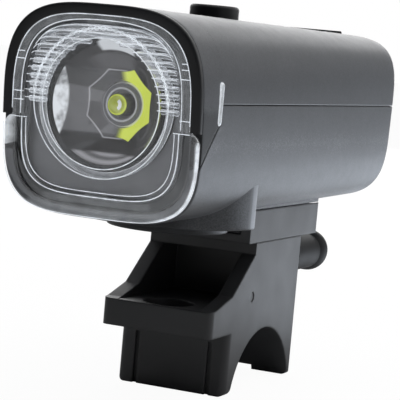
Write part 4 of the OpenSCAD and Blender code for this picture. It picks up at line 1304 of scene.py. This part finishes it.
def cap_form(form):
    """Yellow cap: a shallow dome, part of a sphere whose radius follows from the cap's width and rise."""
    r = SOURCE_R - CAP_IN
    ball = (r**2 + CAP_RISE**2) / (2 * CAP_RISE)
    wide = math.degrees(math.asin(r / ball))
    dome = arc(0, SOURCE_LOW[1] + ball, ball, -90 + wide, -89.5, 16)
    base = SOURCE_LOW[1] + CAP_RISE + CAP_SINK
    revolve(form, np.concatenate([[[AXIS_R, base], [r, base]], dome]), (0, BEAM_Z), "y", 72)


class HEADLIGHT_OT_optics(bpy.types.Operator):
    """Builds the reflector, the light source and its collar"""

    bl_idname = "headlight.optics"
    bl_label = "Optics"

    def execute(self, context):
        for name, shape, paint, slot, node in (
            ("reflector_bowl", reflector_form, "mirror_metal", "reflector_metal", "reflector"),
            ("source_collar", collar_form, "collar_grey_plastic", "collar_grey", "led_collar"),
            ("source_post", post_form, "post_grey_plastic", "led_yellow", "led_emitter"),
            ("source_cap", cap_form, "phosphor_cap", "led_yellow", "led_emitter"),
        ):
            settle(built(name, shape), "light", paint, slot, node)
        return {"FINISHED"}


# Side windows, button, port cover and spring

PANE_T, PANE_PROUD, PANE_EDGE = 2.6, 0.15, 0.35
# Painted highlight on a pane's rim: how deep and how far in it reaches, the run of its fade, and its strength
GLINT_DEEP, GLINT_IN, GLINT_FADE, GLINT_TOP = 0.42, 0.36, 0.16, 0.9


def pane_glint(x, y, z):
    """Painted highlight on the pane's rounded rim: the value falls with the distance inside its outline."""
    past = np.maximum(np.abs(z - WINDOW_Z) - WINDOW_RUN, 0)
    inside = WINDOW_W / 2 - np.hypot(y - WINDOW_Y, past)
    shallow = np.abs(x) > np.abs(x).max() - GLINT_DEEP
    return GLINT_TOP * fade(GLINT_IN - inside, GLINT_FADE) * shallow


class HEADLIGHT_OT_side_windows(bpy.types.Operator):
    """Builds the two clear side windows"""

    bl_idname = "headlight.side_windows"
    bl_label = "Side Windows"

    def execute(self, context):
        face = float(section(angle_at(WINDOW_Z, WINDOW_Y), WINDOW_Y)[0]) + PANE_PROUD
        for node, ends in (
            ("side_window_right", (face - PANE_T, face, 0.0, PANE_EDGE)),
            ("side_window_left", (-face, PANE_T - face, PANE_EDGE, 0.0)),
        ):
            pane = built(node + "_pane", slab, window_outline(0.0), *ends, "x")
            mark(pane, "glint", pane_glint)
            settle(pane, "light", "clear_lens_plastic", "clear_lens", node)
        return {"FINISHED"}


STEM_R, STEM_L, BUTTON_EDGE = 1.5, 1.1, 0.7
# Dish in the button's top: radius of its edge, and points as (distance in from the side, depth)
DISH_IN, DISH_R, DISH_DEEP = 1.6, 0.3, 0.47
DISH = ((2.1, 0.42), (3.4, 0.46))


def button_form(form):
    """Power button: turned stem, flange, head with a rounded edge, and the shallow dish in its top."""
    top, bottom, r = BUTTON_HIGH[2], BUTTON_LOW[2], BUTTON_R
    flange = bottom + STEM_L
    wide, above = r + BUTTON_FLANGE, flange + BUTTON_FLANGE
    prof = np.concatenate(
        [
            [[AXIS_R, bottom], [STEM_R, bottom], [STEM_R, flange]],
            [[wide, flange], [wide, above], [r, above]],
            arc(r - BUTTON_EDGE, top - BUTTON_EDGE, BUTTON_EDGE, 0, 90, 7),
            arc(r - DISH_IN, top - DISH_R, DISH_R, 90, 150, 4),
            [[r - inside, top - deep] for inside, deep in DISH],
            [[AXIS_R, top - DISH_DEEP]],
        ]
    )
    revolve(form, prof, (0, BUTTON_Y), "z", 96)


class HEADLIGHT_OT_button(bpy.types.Operator):
    """Builds the round power button"""

    bl_idname = "headlight.button"
    bl_label = "Power Button"

    def execute(self, context):
        cap = built("button_cap", button_form)
        settle(cap, "button", "button_black_satin", "button_black", "power_button")
        return {"FINISHED"}


COVER_CORNER, COVER_EDGE, COVER_T, COVER_SUNK, BARREL_IN = 4.5, 0.3, 1.6, 0.75, 0.3
PORT_BACK, PLUG_HALF_X, PLUG_HALF_Y, PLUG_CORNER, PLUG_UP = 12.0, 4.5, 1.65, 0.8, 0.7


def cover_outline(grow):
    """Port cover seen from above: straight sides, square rear and two large round corners at the front."""
    half, front, rear = COVER_HIGH[0] + grow, COVER_LOW[1] - grow, COVER_HIGH[1] + grow
    r = COVER_CORNER
    left = arc(-half + r, front + r, r, 180, 270, 12)
    right = arc(half - r, front + r, r, 270, 360, 12)
    return np.concatenate([left, right, [[half, rear], [-half, rear]]])


def cover_form(form):
    """Port cover: a plate sunk flush into its recess, the barrel that it turns on and the plug below it."""
    half = COVER_HIGH[0]
    hinge_y, hinge_z = COVER_HIGH[1] - COVER_T / 2, COVER_HIGH[2] - COVER_T / 2
    top = COVER_HIGH[2] - COVER_SUNK
    port_y = COVER_LOW[1] + PORT_BACK
    plan = cover_outline(0.0)
    plan[:, 1] = np.minimum(plan[:, 1], hinge_y)
    slab(form, plan, top - COVER_T + COVER_SUNK, top, SMALL_R, COVER_EDGE)
    barrel = circle(hinge_y, hinge_z, COVER_T / 2 - BARREL_IN, 24)
    slab(form, barrel, -half, half, SMALL_R, SMALL_R, "x")
    plug = rounded_rect(-PLUG_HALF_X, PLUG_HALF_X, port_y - PLUG_HALF_Y, port_y + PLUG_HALF_Y, PLUG_CORNER)
    slab(form, plug, COVER_LOW[2], top - PLUG_UP, COVER_EDGE, 0.0)


class HEADLIGHT_OT_port_cover(bpy.types.Operator):
    """Builds the rubber cover of the charging port"""

    bl_idname = "headlight.port_cover"
    bl_label = "Port Cover"

    def execute(self, context):
        flap = built("port_cover_flap", cover_form)
        settle(flap, "cover", "rubber_black", "black_rubber", "port_cover")
        return {"FINISHED"}


SPRING_TURNS, WIRE_R = 4, 0.3


def spring_form(form):
    """Spring under the lever: a round wire carried along a helix, angle = turns times a full circle and
    height rising evenly, with a ring of the wire's radius at each step."""
    low, high = node_box("lever_spring")
    centre_y = (low[1] + high[1]) / 2
    k = np.linspace(0, 1, 30 * SPRING_TURNS + 1)[:, None]
    turn = 2 * np.pi * SPRING_TURNS * k
    a = around(10)[None]
    r = high[0] - WIRE_R + WIRE_R * np.cos(a)
    z = low[2] + WIRE_R + (high[2] - low[2] - 2 * WIRE_R) * k + WIRE_R * np.sin(a)
    form.tube(np.stack([r * np.cos(turn), centre_y + r * np.sin(turn), z], 2))


class HEADLIGHT_OT_lever_spring(bpy.types.Operator):
    """Builds the spring under the release lever, which shortens as the lever is pressed"""

    bl_idname = "headlight.lever_spring"
    bl_label = "Lever Spring"

    def execute(self, context):
        coil = built("lever_spring_coil", spring_form, sharp=60.0)
        settle(coil, "bracket", "plated_steel", "steel", "lever_spring")
        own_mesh(coil)
        return {"FINISHED"}


class HEADLIGHT_OT_packed_finishes(bpy.types.Operator):
    """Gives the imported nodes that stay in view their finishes"""

    bl_idname = "headlight.packed_finishes"
    bl_label = "Packed Finishes"

    def execute(self, context):
        for paint, nodes in NODE_FINISH.items():
            for node in nodes:
                wear(NODES[node], paint)
        return {"FINISHED"}


# Studio

# Floor and card, in millimetres; the card stands on an arc whose ends are in degrees
FLOOR_HALF, FLOOR_GAP = 4000.0, 0.05
CARD_R, CARD_LIFT, CARD_TOP, CARD_ENDS, CARD_STEPS = 900.0, 1.0, 900.0, (-80, 48), 40
# Lamps, in metres and watts: name, place, point looked at, width and height, power, colour
WHITE, COOL = (1, 1, 1), (0.86, 0.94, 1.05)
LAMPS = (
    ("top_lamp", (0.1, 0.15, 0.8), (0, 0, 0.05), (0.8, 0.8), 1.6, WHITE),
    ("key_lamp", (0.45, 0.5, 0.4), (0.05, 0.1, 0.02), (0.6, 0.6), 0.7, WHITE),
    ("table_glow", (0.17, 0.26, 0.006), (0.17, 0.26, 1.0), (0.3, 0.42), 0.6, COOL),
    ("rear_glow", (-0.36, 0.84, 0.28), (0, 0, 0.06), (0.9, 0.46), 3.5, WHITE),
    ("left_glow", (-0.42, 0.1, 0.3), (0, -0.02, 0.01), (0.3, 0.3), 0.15, WHITE),
)
# Camera fitted to the photograph: degrees, and millimetres for the point looked at, distance and focal length
CAMERA_TURN, CAMERA_RISE, CAMERA_ROLL = 23.48, 5.06, 5.15
CAMERA_AIM, CAMERA_AWAY, CAMERA_LENS = (-8.0, 6.87, 39.11), 378.94, 164.82


def studio_white(name):
    """White for the floor: a large share glows where the camera sees it, and the rest shows shadow."""
    share = 0.9
    k = Look(name)
    shade = k.ramp(k.noise(3.0), (0.3, (0.8, 0.8, 0.8)), (0.7, (0.82, 0.82, 0.82)))
    lit = k.node("ShaderNodeBsdfDiffuse", {}, {"Color": shade})
    glow = k.node("ShaderNodeEmission", {}, {"Color": (1, 1, 1, 1), "Strength": 1.06})
    return k.done(k.blend(k.seen() * share, lit, glow))


def dark_card(name):
    """Dull black card."""
    k = Look(name)
    shade = k.ramp(k.noise(4.0), (0.3, (0.018, 0.018, 0.019)), (0.7, (0.024, 0.024, 0.025)))
    return k.done(k.node("ShaderNodeBsdfDiffuse", {}, {"Color": shade}))


def studio_world(name):
    """World that is white where the camera looks at it, and dim for all other light."""
    k = Look(name, "worlds", "ShaderNodeOutputWorld")
    dim = k.node("ShaderNodeBackground", {}, {"Color": (0.95, 0.97, 1.0, 1), "Strength": 0.2})
    white = k.node("ShaderNodeBackground", {}, {"Color": (1, 1, 1, 1), "Strength": 1.0})
    return k.done(k.blend(k.seen(), dim, white))


def stand(name, data, right, up, back, place):
    """Puts a lamp or camera into the scene by its own three axes and its place in metres."""
    obj = bpy.data.objects.new(name, data)
    bpy.context.scene.collection.objects.link(obj)
    m = np.eye(4)
    m[:3, 0], m[:3, 1], m[:3, 2], m[:3, 3] = right, up, back, place
    obj.matrix_world = Matrix(m.tolist())
    return obj


def lamp(name, place, aim, size, power, colour):
    """A rectangular soft lamp that looks at a point."""
    data = bpy.data.lights.new(name, "AREA")
    data.shape = "RECTANGLE"
    data.size, data.size_y = size
    data.energy = power
    data.color = colour
    back = np.array(place, float) - np.array(aim, float)
    back /= np.linalg.norm(back)
    right = np.cross((0, 0, 1) if abs(back[2]) < 0.99 else (0, 1, 0), back)
    right /= np.linalg.norm(right)
    stand(name, data, right, np.cross(back, right), back, place).visible_camera = False


def camera(name):
    """The camera that took the photograph: turned and raised about the point looked at, then rolled."""
    turn, rise, roll = np.radians([CAMERA_TURN, CAMERA_RISE, CAMERA_ROLL])
    back = np.array([np.sin(turn) * np.cos(rise), -np.cos(turn) * np.cos(rise), np.sin(rise)])
    level = np.array([np.cos(turn), np.sin(turn), 0.0])
    upright = np.cross(back, level)
    right = np.cos(roll) * level + np.sin(roll) * upright
    up = -np.sin(roll) * level + np.cos(roll) * upright
    data = bpy.data.cameras.new(name)
    data.sensor_fit = "AUTO"
    data.sensor_width = 36.0
    data.lens = CAMERA_LENS
    data.clip_start, data.clip_end = 0.01, 20.0
    return stand(name, data, right, up, back, (np.array(CAMERA_AIM) + CAMERA_AWAY * back) * MM)


class HEADLIGHT_OT_stage(bpy.types.Operator):
    """Sets up the floor, the dark card in front, the lamps, the world and the camera"""

    bl_idname = "headlight.stage"
    bl_label = "Stage"

    def execute(self, context):
        scene = context.scene
        ground = CAD_LOW[2] / MM - FLOOR_GAP
        reach = np.linspace(-FLOOR_HALF, FLOOR_HALF, 9)
        x, y = np.meshgrid(reach, reach)
        floor = built("studio_floor", Form.grid, np.stack([x, y, np.full_like(x, ground)], 2))
        floor.data.materials.append(studio_white("studio_white"))

        t = np.radians(np.linspace(*CARD_ENDS, CARD_STEPS))
        wall = np.stack([CARD_R * np.sin(t), -CARD_R * np.cos(t)], 1)
        rows = [np.column_stack([wall, np.full(CARD_STEPS, h)]) for h in (ground + CARD_LIFT, CARD_TOP)]
        card = built("front_card", Form.grid, np.stack(rows))
        card.data.materials.append(dark_card("dark_card"))
        card.visible_camera = False

        for values in LAMPS:
            lamp(*values)
        scene.world = studio_world("studio_world")
        scene.camera = camera("photo_camera")
        scene.view_settings.view_transform = "Standard"
        return {"FINISHED"}


class HEADLIGHT_PT_panel(bpy.types.Panel):
    """Lists the pieces and their sizes"""

    bl_idname = "HEADLIGHT_PT_panel"
    bl_label = "Bike Headlight"
    bl_space_type = "VIEW_3D"
    bl_region_type = "UI"
    bl_category = "Headlight"

    def draw(self, context):
        for name in SETTINGS:
            group = getattr(context.scene, name)
            box = self.layout.box()
            for key in group.__annotations__:
                box.prop(group, key)
        for op in OPERATORS:
            self.layout.operator(op.bl_idname)


OPERATORS = (
    HEADLIGHT_OT_upper_shell,
    HEADLIGHT_OT_lower_shell,
    HEADLIGHT_OT_bezel,
    HEADLIGHT_OT_lens,
    HEADLIGHT_OT_optics,
    HEADLIGHT_OT_side_windows,
    HEADLIGHT_OT_button,
    HEADLIGHT_OT_port_cover,
    HEADLIGHT_OT_lever_spring,
    HEADLIGHT_OT_packed_finishes,
    HEADLIGHT_OT_stage,
)
SETTINGS = {"body_sizes": BodySizes, "optic_sizes": OpticSizes, "finishes": Finishes}
CLASSES = (*SETTINGS.values(), *OPERATORS, HEADLIGHT_PT_panel)


def register():
    for c in CLASSES:
        bpy.utils.register_class(c)
    for name, group in SETTINGS.items():
        setattr(bpy.types.Scene, name, PointerProperty(type=group))


def unregister():
    for name in SETTINGS:
        delattr(bpy.types.Scene, name)
    for c in reversed(CLASSES):
        bpy.utils.unregister_class(c)


def main():
    register()
    for op in OPERATORS:
        group, name = op.bl_idname.split(".")
        getattr(getattr(bpy.ops, group), name)()


if __name__ == "__main__":
    main()
